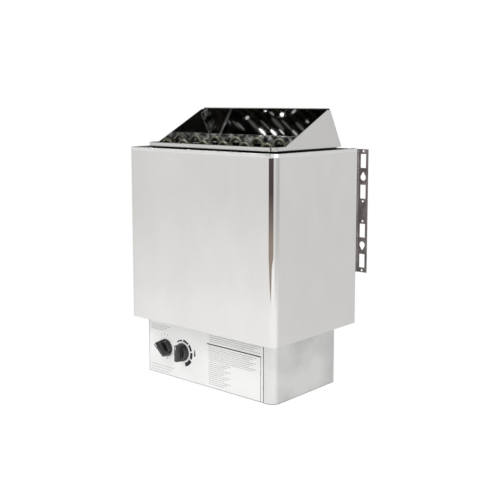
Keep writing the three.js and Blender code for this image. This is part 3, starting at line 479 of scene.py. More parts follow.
def plainMetal(name, colour, low, high, dull=0.75):
    metal = Finish(name, colour, 1.0, high)
    cloud = metal.noise((70, 70, 70), 5.0)
    turned = metal.noise((40, 40, 1800), 2.0)
    metal.rough(metal.spread(cloud, low, high))
    metal.tint(cloud, shade(colour, dull), colour)
    metal.bump((turned, 0.05, 0.0002))
    return metal.material


def printInk():
    ink = Finish("printInk", (0.022, 0.022, 0.025), 0.0, 0.55)
    speck = ink.noise((900, 900, 900), 2.0)
    ink.tint(speck, (0.015, 0.015, 0.018), (0.035, 0.035, 0.038))
    ink.rough(ink.spread(speck, 0.48, 0.6))
    ink.shader.inputs["Specular IOR Level"].default_value = 0.2
    return ink.material


def paleInk():
    ink = Finish("paleInk", (0.37, 0.37, 0.38), 0.0, 0.55)
    speck = ink.noise((900, 900, 900), 2.0)
    ink.tint(speck, (0.31, 0.31, 0.32), (0.43, 0.43, 0.43))
    return ink.material


finishes = {
    "polished_steel": polishedSteel("polishedSteel", 1.0, 0.07),
    "satin_steel": satinSteel(),
    "bracket_steel": bracketSteel(),
    "element_sheath": elementSheath(),
    "brass_fittings": plainMetal("brassFittings", (0.68, 0.50, 0.22), 0.22, 0.4),
    "fascia_paint": fasciaPaint("fasciaPaint", 1.0),
    "knob_black": mouldedPlastic("knobBlack", (0.005, 0.005, 0.006), 0.12, 0.24, 700, 0.95),
    "dark_plastic": mouldedPlastic("darkPlastic", (0.03, 0.03, 0.033), 0.42, 0.6, 500),
    "lead_insulation": mouldedPlastic("leadInsulation", (0.035, 0.035, 0.038), 0.5, 0.7, 300),
    "pale_plastic": mouldedPlastic("palePlastic", (0.70, 0.68, 0.60), 0.4, 0.55, 500),
    "copper_parts": plainMetal("copperParts", (0.72, 0.36, 0.20), 0.25, 0.42),
    "button_red": mouldedPlastic("buttonRed", (0.45, 0.035, 0.025), 0.3, 0.45, 500),
}
hoodSteel = polishedSteel("hoodSteel", 0.89, 0.16)
cutSteel = plainMetal("cutSteel", (0.85, 0.85, 0.84), 0.5, 0.65)
hemSteel = plainMetal("hemSteel", (0.84, 0.84, 0.83), 0.42, 0.5, 0.93)
# heated steel for the furnace parts, also used as painted shade on the box's bottom strip and the fascia's
# folded end
furnaceSteelAndShade = heatedSteel("heatedSteel").material
ink = printInk()
softInkAndShade = paleInk()
pointerInk = fasciaPaint("pointerInk", 0.8)
print("materials made:", len(finishes))


# CAD nodes that stay: finish from their record slot, edges broken a little
edgeBreak = {"width": 0.25 * mm, "segments": 2, "angle": 35, "weld": 0.01 * mm}
nodeFinishes = {"inner_liner": linerFinish(), "floor_grate": furnaceSteelAndShade, "element_support": furnaceSteelAndShade}


def softenEdges(piece, width=edgeBreak["width"]):
    bevel = piece.modifiers.new("edgeBreak", "BEVEL")
    bevel.width = width
    bevel.segments = edgeBreak["segments"]
    bevel.limit_method = "ANGLE"
    bevel.angle_limit = math.radians(edgeBreak["angle"])
    bevel.harden_normals = True


def dressNodes():
    slots = {part["node"]: part["material_slot"] for part in frame["record"]["subparts"]}
    for name, node in nodes.items():
        node.data.materials.clear()
        node.data.materials.append(nodeFinishes.get(name, finishes[slots[name]]))
        weld = node.modifiers.new("weld", "WELD")
        weld.merge_threshold = edgeBreak["weld"]
        softenEdges(node)


dressNodes()
print("nodes dressed")


# shared steps for the pieces that stand for a node
def keepPiece(bm, name, slotName, stands=(), body=mainBody, material=None, smooth=35):
    mesh = bpy.data.meshes.new(name)
    bm.to_mesh(mesh)
    bm.free()
    for polygon in mesh.polygons:
        polygon.use_smooth = True
    mesh.set_sharp_from_angle(angle=math.radians(smooth))
    piece = bpy.data.objects.new(name, mesh)
    scene.collection.objects.link(piece)
    mesh.materials.append(material or finishes[slotName])
    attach(piece, body)
    if stands:
        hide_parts(*stands)
    return piece


def addSheet(piece, sheet):
    wall = piece.modifiers.new("sheet", "SOLIDIFY")
    wall.thickness = sheet
    wall.offset = -1
    wall.use_even_offset = True


def thicken(piece, sheet, edge=0.2 * mm):
    addSheet(piece, sheet)
    softenEdges(piece, edge)
    flat = piece.modifiers.new("flatFaces", "WEIGHTED_NORMAL")   # keeps broad faces free of false curves
    flat.keep_sharp = True


def vertsOf(geom):
    return [part for part in geom if isinstance(part, bmesh.types.BMVert)]


def edgesOf(geom):
    return [part for part in geom if isinstance(part, bmesh.types.BMEdge)]


def roundEdges(bm, edges, radius, segments):
    bmesh.ops.bevel(
        bm, geom=edges, offset=radius, offset_type="OFFSET", affect="EDGES",
        segments=segments, profile=0.5, material=-1, clamp_overlap=True,
    )


# a sheet raised from a line of points, with chosen corners of the line rounded
def raiseSheet(line, way, rounds):
    bm = bmesh.new()
    row = [bm.verts.new(spot) for spot in line]
    edges = [bm.edges.new(pair) for pair in zip(row, row[1:])]
    raised = bmesh.ops.extrude_edge_only(bm, edges=edges)["geom"]
    bmesh.ops.translate(bm, vec=way, verts=vertsOf(raised))
    along = Vector(way).normalized()
    for index, radius, segments in rounds:
        spot = Vector(line[index])
        bend = [e for e in bm.edges if all((v.co - spot).cross(along).length < tiny for v in e.verts)]
        roundEdges(bm, bend, radius, segments)
    return bm


# turn a sheet's faces so that the face nearest a spot looks the way given
def orient(bm, spot, away):
    bmesh.ops.recalc_face_normals(bm, faces=bm.faces[:])
    near = min(bm.faces, key=lambda face: (face.calc_center_median() - Vector(spot)).length)
    if near.normal.dot(Vector(away)) < 0:
        bmesh.ops.reverse_faces(bm, faces=bm.faces[:])
    bm.normal_update()


# trim what lies beyond a plane, or only cut along it
def trim(bm, spot, normal, faces=None, clear=True):
    faces = faces or bm.faces[:]
    geom = set(faces)
    for face in faces:
        geom.update(face.edges)
        geom.update(face.verts)
    bmesh.ops.bisect_plane(bm, geom=list(geom), plane_co=spot, plane_no=normal, clear_outer=clear)


# add the pieces of one sheet to another
def gather(bm, *others):
    for other in others:
        mesh = bpy.data.meshes.new("island")
        other.to_mesh(mesh)
        other.free()
        bm.from_mesh(mesh)
        bpy.data.meshes.remove(mesh)
    return bm


def looseObject(bm, name):
    mesh = bpy.data.meshes.new(name)
    bm.to_mesh(mesh)
    bm.free()
    loose = bpy.data.objects.new(name, mesh)
    scene.collection.objects.link(loose)
    return loose


# the solid that is left when a tool has been taken out of a sheet or body
def punched(bm, tool, sheet=None):
    blank = looseObject(bm, "blank")
    cutter = looseObject(tool, "cutter")
    if sheet:
        addSheet(blank, sheet)
    hole = blank.modifiers.new("hole", "BOOLEAN")
    hole.operation = "DIFFERENCE"
    hole.solver = "EXACT"
    hole.use_self = True
    hole.object = cutter
    bpy.context.view_layer.update()
    graph = bpy.context.evaluated_depsgraph_get()
    mesh = bpy.data.meshes.new_from_object(blank.evaluated_get(graph))
    result = bmesh.new()
    result.from_mesh(mesh)
    bpy.data.meshes.remove(mesh)
    for spare in (blank, cutter):
        data = spare.data
        bpy.data.objects.remove(spare)
        bpy.data.meshes.remove(data)
    return result


# a turned body from its half profile, on an upright axis through the origin
def turnProfile(profile, steps):
    bm = bmesh.new()
    row = [bm.verts.new((r, 0, h)) for r, h in profile]
    edges = [bm.edges.new(pair) for pair in zip(row, row[1:])]
    bmesh.ops.spin(
        bm, geom=row + edges, cent=(0, 0, 0), axis=(0, 0, 1), angle=2 * math.pi, steps=steps, use_merge=True,
    )
    bmesh.ops.remove_doubles(bm, verts=bm.verts[:], dist=tiny)
    bmesh.ops.recalc_face_normals(bm, faces=bm.faces[:])
    return bm


def addBlock(bm, centre, size):
    bmesh.ops.create_cube(bm, size=1, matrix=Matrix.Translation(centre) @ Matrix.Diagonal((*size, 1)))


# a straight-sided hull round circles of one thickness, its axis along Y
def addHull(bm, circles, y0, y1):
    rim = []
    for x, z, radius in circles:
        for y in (y0, y1):
            place = Matrix.Translation((x, y, z)) @ standUp
            rim += bmesh.ops.create_circle(bm, segments=40, radius=radius, matrix=place)["verts"]
    bmesh.ops.convex_hull(bm, input=rim)


# fold the level edge of a wall over to the inside
def rollHem(bm, level, drop, gap, roll, reach):
    bm.normal_update()
    rim = [
        e for e in bm.edges
        if e.is_boundary and all(abs(v.co.z - level) < tiny and v.co.y < reach + tiny for v in e.verts)
    ]
    inward = {v.co.copy().freeze(): v.normal.copy() for e in rim for v in e.verts}
    fold = bmesh.ops.extrude_edge_only(bm, edges=rim)["geom"]
    for v in vertsOf(fold):
        flat = inward[v.co.copy().freeze()]
        flat.z = 0
        v.co -= flat.normalized() * gap
    lip = edgesOf(fold)
    down = bmesh.ops.extrude_edge_only(bm, edges=lip)["geom"]
    bmesh.ops.translate(bm, vec=(0, 0, drop), verts=vertsOf(down))
    roundEdges(bm, rim + lip, roll, 3)


# outer jacket: one wrap with rounded front corners, folded rear returns and rolled edges
jacketShape = {
    "corner": 17 * mm,
    "sheet": 1 * mm,
    "return": 16 * mm,
    "bend": 2.5 * mm,
    "hem": 9 * mm,
    "fold": 2.1 * mm,
    "roll": 0.95 * mm,
    "pressed": 7.5 * mm,
}


def buildJacket():
    low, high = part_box("outer_jacket")
    hemEnd = high.y - jacketShape["return"]
    left = low.x + jacketShape["return"]
    right = high.x - jacketShape["return"]
    path = [
        (left, high.y), (low.x, high.y), (low.x, hemEnd), (low.x, low.y),
        (high.x, low.y), (high.x, hemEnd), (high.x, high.y), (right, high.y),
    ]
    rounds = [(index, jacketShape["corner"], 12) for index in (3, 4)]
    rounds += [(index, jacketShape["bend"], 4) for index in (1, 6)]
    bm = raiseSheet([(x, y, low.z) for x, y in path], (0, 0, high.z - low.z), rounds)
    front = (0, low.y, (low.z + high.z) / 2)
    orient(bm, front, (0, -1, 0))
    pressed = high.z - jacketShape["pressed"]
    trim(bm, (0, 0, pressed), (0, 0, 1), clear=False)
    hem = jacketShape["hem"]
    rollHem(bm, high.z, -hem, jacketShape["fold"], jacketShape["roll"], hemEnd)
    rollHem(bm, low.z, hem, jacketShape["fold"], jacketShape["roll"], hemEnd)
    orient(bm, front, (0, -1, 0))
    jacket = keepPiece(bm, "jacketSheet", "polished_steel", ["outer_jacket"])
    jacket.data.materials.append(hemSteel)   # the press leaves the folded edge dull
    for polygon in jacket.data.polygons:
        polygon.material_index = int(polygon.center.z > pressed)
    thicken(jacket, jacketShape["sheet"])


buildJacket()
print("jacket built")


# hood: low rolled rim, rising cheeks and a rear wall that leans forward over an upright band
hoodShape = {
    "corner": 18 * mm,
    "sheet": 1 * mm,
    "rim": 7 * mm,
    "fold": 3 * mm,
    "lean": 41.1 * mm,
    "cheekStart": 38 * mm,
    "hem": 6 * mm,
    "gap": 2.1 * mm,
    "roll": 0.95 * mm,
    "bend": 2.5 * mm,
    "crestRound": 5 * mm,
    "tab": 14 * mm,
    "tabInset": 1.95 * mm,
    "tabStart": 28 * mm,
    "tabEnd": 7.8 * mm,
    "band": 18.5 * mm,
    "bandInset": 1.5 * mm,
}


def trimCrest(bm, low, high):
    size = hoodShape["crestRound"]
    for sign, edge in ((-1, low.x), (1, high.x)):
        for angle in (22.5, 45, 67.5):
            away = Vector((sign * math.sin(math.radians(angle)), 0, math.cos(math.radians(angle))))
            centre = Vector((edge - sign * size, 0, high.z - size))
            trim(bm, centre + away * size, away)


def hoodWrap(low, high, rim, fold, crest):
    start = low.y + hoodShape["cheekStart"]
    path = [(low.x, high.y), (low.x, low.y), (high.x, low.y), (high.x, high.y)]
    rounds = [(index, hoodShape["corner"], 12) for index in (1, 2)]
    bm = raiseSheet([(x, y, low.z) for x, y in path], (0, 0, high.z - low.z), rounds)
    trim(bm, (0, start, 0), (0, 1, 0), clear=False)
    seam = [e for e in bm.edges if all(abs(v.co.y - start) < tiny for v in e.verts)]
    bmesh.ops.split_edges(bm, edges=seam)
    cheeks = [face for face in bm.faces if face.calc_center_median().y > start]
    trim(bm, (0, start, rim), (0, rim - high.z, crest - start), cheeks)
    cheeks = [face for face in bm.faces if face.calc_center_median().y > start]
    trim(bm, (0, crest, high.z), (0, high.z - fold, high.y - crest), cheeks)
    trim(bm, (0, 0, rim), (0, 0, 1), [face for face in bm.faces if face.calc_center_median().y < start])
    bmesh.ops.remove_doubles(bm, verts=bm.verts[:], dist=tiny)
    orient(bm, (0, low.y, rim), (0, -1, 0))
    rollHem(bm, rim, -hoodShape["hem"], hoodShape["gap"], hoodShape["roll"], start)
    orient(bm, (0, low.y, low.z), (0, -1, 0))
    return bm


def buildHood():
    low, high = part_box("hood")
    sheet = hoodShape["sheet"]
    rim = low.z + hoodShape["rim"]
    fold = low.z + hoodShape["fold"]
    crest = high.y - hoodShape["lean"]
    lean = Vector((0, crest - high.y, high.z - fold)).normalized()
    inside = Vector((0, -lean.z, lean.y))
    topSpot = Vector((low.x + sheet / 2, crest, high.z))
    overSpot = topSpot + inside * hoodShape["gap"]
    profile = [
        (topSpot.x, high.y, low.z), (topSpot.x, high.y, fold),
        topSpot, overSpot, overSpot - lean * hoodShape["hem"],
    ]
    bends = [(1, hoodShape["bend"], 4), (2, hoodShape["roll"], 3), (3, hoodShape["roll"], 3)]
    width = (high.x - low.x - sheet, 0, 0)
    wall = raiseSheet(profile, width, bends)
    orient(wall, (0, (crest + high.y) / 2, (fold + high.z) / 2), -inside)
    wrap = hoodWrap(low, high, rim, fold, crest)
    for bm in (wall, wrap):
        trimCrest(bm, low, high)
    bandTop = low.z + hoodShape["band"]
    bandY = high.y - hoodShape["lean"] * (bandTop - fold) / (high.z - fold) - hoodShape["bandInset"]
    band = raiseSheet([(topSpot.x, bandY, low.z), (topSpot.x, bandY, bandTop)], width, [])
    orient(band, (0, bandY, bandTop), (0, -1, 0))
    reach = lean * ((high.z - fold) / lean.z - hoodShape["tabStart"] - hoodShape["tabEnd"])
    for sign, edge in ((1, low.x), (-1, high.x)):
        foot = Vector((edge + sign * hoodShape["tabInset"], high.y, fold))
        foot += lean * hoodShape["tabStart"] + inside * sheet
        flange = raiseSheet([foot, foot + inside * hoodShape["tab"]], reach, [])
        orient(flange, foot, (sign, 0, 0))
        gather(band, flange)
    hood = keepPiece(gather(wrap, wall), "hoodSheet", "polished_steel", ["hood"], material=hoodSteel)
    thicken(hood, sheet)
    trims = keepPiece(band, "hoodTrims", "polished_steel", ["hood"], material=blotchedSteel())
    trims.data.materials.append(cutSteel)
    thicken(trims, sheet)
    trims.modifiers["sheet"].material_offset_rim = 1


buildHood()
print("hood built")


# heating elements: one tube each, swept leg by leg with half-turn bends
elementShape = {
    "radius": 4.2 * mm,
    "sides": 16,
    "legs": 4,
    "bendSteps": 10,
    "rowStep": 8.5 * mm,
    "low": 157.8 * mm,
}


class TubeSweep:
    def __init__(self, start, heading, radius, sides):
        self.bm = bmesh.new()
        turn = Vector(heading).to_track_quat("Z", "Y").to_matrix().to_4x4()
        ring = bmesh.ops.create_circle(
            self.bm, cap_ends=True, segments=sides, radius=radius, matrix=Matrix.Translation(start) @ turn,
        )
        self.ring = list({e for v in ring["verts"] for e in v.link_edges})
        self.place = Vector(start)
        self.heading = Vector(heading)

    def run(self, length):
        geom = bmesh.ops.extrude_edge_only(self.bm, edges=self.ring)["geom"]
        fresh = vertsOf(geom)
        bmesh.ops.translate(self.bm, vec=self.heading * length, verts=fresh)
        spots = set(fresh)
        self.ring = [e for e in edgesOf(geom) if e.verts[0] in spots and e.verts[1] in spots]
        self.place += self.heading * length

    def bend(self, toward, radius, angle, steps):
        axis = self.heading.cross(Vector(toward)).normalized()
        centre = self.place + Vector(toward).normalized() * radius
        geom = self.ring + list({v for e in self.ring for v in e.verts})
        last = bmesh.ops.spin(
            self.bm, geom=geom, cent=centre, axis=axis, angle=angle, steps=steps, use_duplicate=False,
        )["geom_last"]
        self.ring = edgesOf(last)
        turn = Matrix.Rotation(angle, 3, axis)
        self.place = centre + turn @ (self.place - centre)
        self.heading = turn @ self.heading

    def close(self):
        bmesh.ops.edgeloop_fill(self.bm, edges=self.ring)
        bmesh.ops.recalc_face_normals(self.bm, faces=self.bm.faces[:])
        return self.bm


def buildElement(number):
    node = f"heating_element_{number}"
    low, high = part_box(node)
    radius = elementShape["radius"]
    pitch = (high.x - low.x - 2 * radius) / (elementShape["legs"] - 1)
    bend = pitch / 2
    firstX = low.x + radius
    frontY = low.y + radius
    rowGap = high.y - low.y - 2 * radius
    steps = elementShape["bendSteps"]
    half = math.pi
    sweep = TubeSweep((firstX, frontY, low.z), (0, 0, 1), radius, elementShape["sides"])
    side = Vector((1, 0, 0))
    frontTop = high.z - elementShape["rowStep"]
    for top in (frontTop, high.z):
        arch = top - radius - bend
        base = elementShape["low"] + bend
        for pair in range(elementShape["legs"] // 2):
            sweep.run(arch - sweep.place.z)
            sweep.bend(side, bend, half, 2 * steps)
            if pair == 0:
                sweep.run(sweep.place.z - base)
                sweep.bend(side, bend, half, 2 * steps)
        if top == frontTop:
            sweep.run(sweep.place.z - base)
            sweep.bend((0, 1, 0), bend, half / 2, steps)
            sweep.run(rowGap - 2 * bend)
            sweep.bend((0, 0, 1), bend, half / 2, steps)
            side = -side
    sweep.run(sweep.place.z - low.z)
    keepPiece(sweep.close(), f"elementTube{number}", "element_sheath", [node], smooth=60)


for number in (1, 2, 3):
    buildElement(number)
print("elements built")


# control box: wrapped shell and printed fascia
boxShape = {
    "corner": 20 * mm,
    "cornerReturn": 25.5 * mm,
    "leftReturn": 12 * mm,
    "behindFascia": 1.8 * mm,
    "bend": 2.5 * mm,
    "sheet": 1 * mm,
    "seat": 1.2 * mm,
}


def buildBoxShell():
    low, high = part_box("control_box_shell")
    behind = low.y + boxShape["behindFascia"]
    path = [
        (high.x - boxShape["cornerReturn"], low.y), (high.x, low.y), (high.x, high.y),
        (low.x, high.y), (low.x, behind), (low.x + boxShape["leftReturn"], behind),
    ]
    rounds = [(1, boxShape["corner"], 12)]
    rounds += [(index, boxShape["bend"], 4) for index in (2, 3, 4)]
    bm = raiseSheet([(x, y, low.z) for x, y in path], (0, 0, high.z - low.z), rounds)
    seat = low.z + boxShape["seat"]
    trim(bm, (0, 0, seat), (0, 0, 1), clear=False)
    orient(bm, (high.x, 0, (low.z + high.z) / 2), (1, 0, 0))
    shell = keepPiece(bm, "boxSheet", "satin_steel", ["control_box_shell"])
    shell.data.materials.append(furnaceSteelAndShade)   # painted shade: a dark strip along the bottom edge of the shell
    for polygon in shell.data.polygons:
        polygon.material_index = int(polygon.center.z < seat)
    thicken(shell, boxShape["sheet"])


fasciaShape = {"plate": 1.5 * mm, "bend": 2.5 * mm, "edge": 0.3 * mm}


def buildFascia():
    low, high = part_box("fascia_plate")
    path = [(low.x, low.y), (high.x, low.y), (high.x, high.y)]
    rounds = [(1, fasciaShape["bend"], 5)]
    bm = raiseSheet([(x, y, low.z) for x, y in path], (0, 0, high.z - low.z), rounds)
    orient(bm, (0, low.y, (low.z + high.z) / 2), (0, -1, 0))
    face = keepPiece(bm, "fasciaSheet", "fascia_paint", ["fascia_plate"])
    face.data.materials.append(furnaceSteelAndShade)   # painted shade: the folded end is made dark to stand for the shaded seam
    for polygon in face.data.polygons:
        polygon.material_index = int(polygon.normal.x > 0.6)
    thicken(face, fasciaShape["plate"], fasciaShape["edge"])


buildBoxShell()
buildFascia()
print("control box built")


# wall brackets: joggled strip with a punched wing
bracketShape = {
    "plate": 1.5 * mm,
    "wing": 24 * mm,
    "bend": 3 * mm,
    "window": (13.5 * mm, 29 * mm),
    "windowsAt": (41.1 * mm, 105.3 * mm),
    "nailRadius": 2.5 * mm,
    "nailsAt": (21 * mm, 125.8 * mm),
    "keyAt": 71.1 * mm,
    "keyRadius": 6.8 * mm,
    "keyTip": 2.5 * mm,
    "keyReach": 8.7 * mm,
    "screwAt": (11.3 * mm, 112 * mm),   # in from the joggle, and up or down from the middle
    "screwRadius": 2.8 * mm,
    "through": 5 * mm,
    "edge": 0.2 * mm,
}


def bracketHoles(low, high, side):
    tool = bmesh.new()
    web = (high.x - bracketShape["wing"]) if side > 0 else (low.x + bracketShape["wing"])
    x = web + side * bracketShape["wing"] / 2
    middle = (low.z + high.z) / 2
    y0 = low.y - bracketShape["through"]
    y1 = high.y + bracketShape["through"]
    wide, tall = bracketShape["window"]
    inward, screwUp = bracketShape["screwAt"]
    for end in (-1, 1):
        for offset in bracketShape["windowsAt"]:
            addBlock(tool, (x, (y0 + y1) / 2, middle + end * offset), (wide, y1 - y0, tall))
        for offset in bracketShape["nailsAt"]:
            addHull(tool, [(x, middle + end * offset, bracketShape["nailRadius"])], y0, y1)
        z = middle + end * bracketShape["keyAt"]
        tip = (x, z + end * bracketShape["keyReach"], bracketShape["keyTip"])
        addHull(tool, [(x, z, bracketShape["keyRadius"]), tip], y0, y1)
        addHull(tool, [(web - side * inward, middle + end * screwUp, bracketShape["screwRadius"])], y0, y1)
    return tool


def buildBracket(word, side):
    node = f"wall_bracket_{word}"
    low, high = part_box(node)
    wingFace = high.y - bracketShape["plate"]
    ends = (low.x, high.x) if side > 0 else (high.x, low.x)
    web = ends[1] - side * bracketShape["wing"]
    path = [(ends[0], low.y), (web, low.y), (web, wingFace), (ends[1], wingFace)]
    rounds = [(index, bracketShape["bend"], 4) for index in (1, 2)]
    bm = raiseSheet([(x, y, low.z) for x, y in path], (0, 0, high.z - low.z), rounds)
    orient(bm, (ends[0], low.y, low.z), (0, -1, 0))
    solid = punched(bm, bracketHoles(low, high, side), bracketShape["plate"])
    bracket = keepPiece(solid, f"bracket{word.title()}", "bracket_steel", [node])
    softenEdges(bracket, bracketShape["edge"])
    bracket.visible_glossy = False   # keeps the hazy side of the jacket plain


for word, side in (("right", 1), ("left", -1)):
    buildBracket(word, side)
print("brackets built")


# screws: domed pan heads with a cross recess
screwShape = {
    "shank": 2.5 * mm,
    "head": 4.4 * mm,
    "rise": 2.6 * mm,
    "rim": 0.78 * mm,
    "dome": (25, 45, 65, 90),
    "slot": (5 * mm, 1.1 * mm, 1.5 * mm),
    "edge": 0.12 * mm,
}


def buildScrew(node):
    low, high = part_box(node)
    centre = (Vector(low) + Vector(high)) / 2
    shank, head = screwShape["shank"], screwShape["head"]
    rise, rim = screwShape["rise"], screwShape["rim"]
    length = high.y - low.y - rise
    profile = [(0, -length), (shank, -length), (shank, 0), (head, 0), (head, rim)]
    for angle in screwShape["dome"]:
        turn = math.radians(angle)
        profile.append((head * math.cos(turn), rim + (rise - rim) * math.sin(turn)))
    tool = bmesh.new()
    long, wide, deep = screwShape["slot"]
    for size in ((long, wide), (wide, long)):
        addBlock(tool, (0, 0, rise), (*size, 2 * deep))
    bm = punched(turnProfile(profile, 32), tool)
    place = Matrix.Translation((centre.x, high.y - rise, centre.z)) @ standUp.inverted()
    bmesh.ops.transform(bm, matrix=place, verts=bm.verts[:])
    name = "".join(word.title() for word in node.split("_"))
    screw = keepPiece(bm, name[0].lower() + name[1:], "satin_steel", [node])
    softenEdges(screw, screwShape["edge"])


screws = sorted(name for name in nodes if "screw" in name)
for name in screws:
    buildScrew(name)
print("screws built:", len(screws))


# dial knobs: skirt and boss turned, tall grip with flared flanks, pale pointer line
knobShape = {
    "skirt": 19.5 * mm,
    "gap": 0.8 * mm,
    "skirtRise": 3 * mm,
    "skirtDraft": 0.3 * mm,
    "boss": 16.5 * mm,
    "bossRise": 7 * mm,
    "bossDraft": 0.4 * mm,
    "crown": 1.5 * mm,
    "rim": 0.9 * mm,
    "sharp": 0.5,   # turn across an edge, in radians, above which it is rounded
    "rise": 21.5 * mm,
    "gripLength": 36.5 * mm,
    "gripTop": 8.4 * mm,
    "gripFoot": 13 * mm,
    "gripWaist": 0.78,
    "gripSink": 1 * mm,
    "taper": 0.96,
    "edge": 1.4 * mm,
    "pointer": (1.8 * mm, 7 * mm, 0.25 * mm),
    "height": 61 * mm,
}


def knobBase():
    skirt, boss, crown = knobShape["skirt"], knobShape["boss"], knobShape["crown"]
    bm = turnProfile([
        (0, knobShape["gap"]),
        (skirt, knobShape["gap"]),
        (skirt - knobShape["skirtDraft"], knobShape["skirtRise"]),
        (boss, knobShape["skirtRise"]),
        (boss - knobShape["bossDraft"], knobShape["bossRise"]),
        (boss - 2 * crown, knobShape["bossRise"] + crown),
        (0, knobShape["bossRise"] + crown),
    ], 64)
    rims = [e for e in bm.edges if e.calc_face_angle(0) > knobShape["sharp"]]
    roundEdges(bm, rims, knobShape["rim"], 4)
    return bm


def knobGrip():
    bm = bmesh.new()
    foot, top = knobShape["gripFoot"] / 2, knobShape["gripTop"] / 2
    low = knobShape["skirtRise"] - knobShape["gripSink"]
    waist = knobShape["bossRise"] + knobShape["crown"]
    half = [
        (foot, low), (foot, knobShape["bossRise"]),
        (knobShape["gripWaist"] * foot, waist), (top, knobShape["rise"]),
    ]
    section = half + [(-x, z) for x, z in reversed(half)]
    end = knobShape["gripLength"] / 2
    face = bm.faces.new([bm.verts.new((x, -end, z)) for x, z in section])
    far = bmesh.ops.extrude_face_region(bm, geom=[face])["geom"]
    bmesh.ops.translate(bm, vec=(0, 2 * end, 0), verts=vertsOf(far))
    for v in bm.verts:
        if v.co.z > waist + tiny:
            v.co.y *= knobShape["taper"]
    bmesh.ops.recalc_face_normals(bm, faces=bm.faces[:])
    sharp = [e for e in bm.edges if e.calc_face_angle(0) > knobShape["sharp"]]
    upper = [e for e in sharp if max(v.co.z for v in e.verts) > waist - tiny]
    roundEdges(bm, upper, knobShape["edge"], 4)
    return bm


def buildKnob(word, x, turn):
    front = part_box("fascia_plate")[0].y
    place = Matrix.Translation((x, front, knobShape["height"])) @ standUp
    place = place @ Matrix.Rotation(math.radians(turn), 4, "Z")
    bm = gather(knobBase(), knobGrip())
    bmesh.ops.transform(bm, matrix=place, verts=bm.verts[:])
    keepPiece(bm, f"{word}Knob", "knob_black", [f"{word}_knob"], body=f"{word}_dial")
    wide, long, thick = knobShape["pointer"]
    tip = knobShape["taper"] * knobShape["gripLength"] / 2 - knobShape["edge"]
    line = bmesh.new()
    addBlock(line, (0, tip - long / 2, knobShape["rise"]), (wide, long, thick))
    bmesh.ops.transform(line, matrix=place, verts=line.verts[:])
    keepPiece(line, f"{word}Pointer", "knob_black", body=f"{word}_dial", material=pointerInk)


dials = {"timer": (-125 * mm, 50), "thermostat": (-74 * mm, 0)}   # place across the fascia, turn at rest
for word, (x, turn) in dials.items():
    buildKnob(word, x, turn)
print("knobs built")


# print on the fascia: a hot-to-cool arc, plain numbers, one tick and plain rules; grey lines along the left
# and bottom edges are painted shade
printShape = {
    "lift": 0.06 * mm,
    "film": 0.048 * mm,
    "arcRadius": 23.2 * mm,
    "arcSteps": 12,
    "arcs": ((-40, -1, 3), (5, 40, 4.6), (46, 77, 5.8), (84, 115, 6.6), (122, 164, 8.4)),
    "numbers": ((-28, 29.5, "1"), (-8, 29.5, "2"), (8, 28, "3"), (113, 24, "6"), (172, 24, "9")),
    "numberSize": 5.5 * mm,
    "tick": ((-40.2, 58), (-35.2, 58), (-36.8, 72), (-38.4, 72)),
    "darkRules": ((-1, 94.4, 146, 92), (145.1, 92, 146.2, 1)),
    # painted shade: grey lines along the fascia's left and bottom edges
    "edges": ((-178.6, 118, -177.2, 2.2), (-178.6, 1.8, 152, 0.6)),
    "hairline": 0.85,
    "ragged": (9, 3),   # step of the line ends, and lines before they repeat
    "blocks": (   # left, right, first, last and number of the lines
        (3, 134, 88, 60, 8), (3, 64, 55, 9, 12), (5, 146, 113, 100, 4), (-172, -112, 108, 99, 3),
        (-172, -100, 19, 7, 3),
    ),
}


def printFlat(bm, name, material):
    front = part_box("fascia_plate")[0].y - printShape["lift"]
    for v in bm.verts:
        v.co.y = front
    orient(bm, (0, front, 0), (0, -1, 0))
    for face in bm.faces:
        if face.normal.y > 0:
            face.normal_flip()
    layer = keepPiece(bm, name, "fascia_paint", material=material)
    addSheet(layer, printShape["film"])


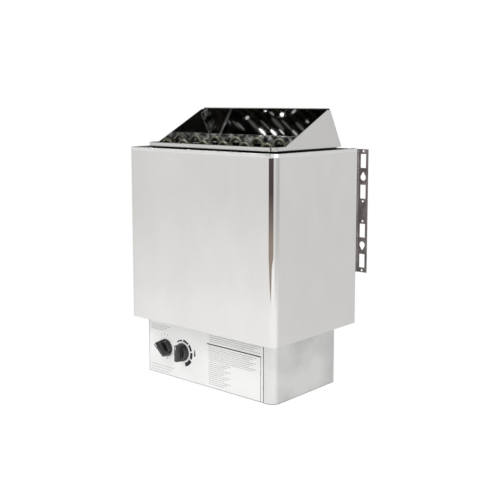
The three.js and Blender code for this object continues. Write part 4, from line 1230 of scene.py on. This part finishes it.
def addOutline(bm, corners):
    bm.faces.new([bm.verts.new((x * mm, 0, z * mm)) for x, z in corners])


def addRule(bm, x0, z0, x1, z1):
    addOutline(bm, ((x0, z0), (x1, z0), (x1, z1), (x0, z1)))


def addNumber(bm, text, x, z):
    curve = bpy.data.curves.new("number", "FONT")
    curve.body = text
    curve.size = printShape["numberSize"]
    curve.align_x = "CENTER"
    curve.align_y = "CENTER"
    holder = bpy.data.objects.new("number", curve)
    mesh = bpy.data.meshes.new_from_object(holder)
    mesh.transform(Matrix.Translation((x, 0, z)) @ standUp)
    bm.from_mesh(mesh)
    bpy.data.meshes.remove(mesh)
    bpy.data.objects.remove(holder)
    bpy.data.curves.remove(curve)


def printDials():
    bm = bmesh.new()
    z0 = knobShape["height"]
    x0 = dials["thermostat"][0]
    for start, end, width in printShape["arcs"]:
        turn = math.radians(start)
        reach = [printShape["arcRadius"], printShape["arcRadius"] + width * mm]
        pair = [bm.verts.new((x0 + r * math.sin(turn), 0, z0 + r * math.cos(turn))) for r in reach]
        edge = bm.edges.new(pair)
        bmesh.ops.spin(
            bm, geom=pair + [edge], cent=(x0, 0, z0), axis=(0, 1, 0),
            angle=math.radians(end - start), steps=printShape["arcSteps"], use_merge=False,
        )
    addOutline(bm, printShape["tick"])
    x0 = dials["timer"][0]
    for angle, radius, text in printShape["numbers"]:
        turn = math.radians(angle)
        reach = radius * mm
        addNumber(bm, text, x0 + reach * math.sin(turn), z0 + reach * math.cos(turn))
    for rule in printShape["darkRules"]:
        addRule(bm, *rule)
    printFlat(bm, "dialPrint", ink)


def printRulesAndEdgeShade():
    bm = bmesh.new()
    # painted shade along the left and bottom edges, laid in the pale ink
    for edge in printShape["edges"]:
        addRule(bm, *edge)
    step, repeat = printShape["ragged"]
    for left, right, first, last, count in printShape["blocks"]:
        for number in range(count):
            z = first + (last - first) * number / (count - 1)
            end = right - step * (number % repeat)
            addRule(bm, left, z, end, z - printShape["hairline"])
    printFlat(bm, "labelRules", softInkAndShade)


printDials()
printRulesAndEdgeShade()
print("print laid")
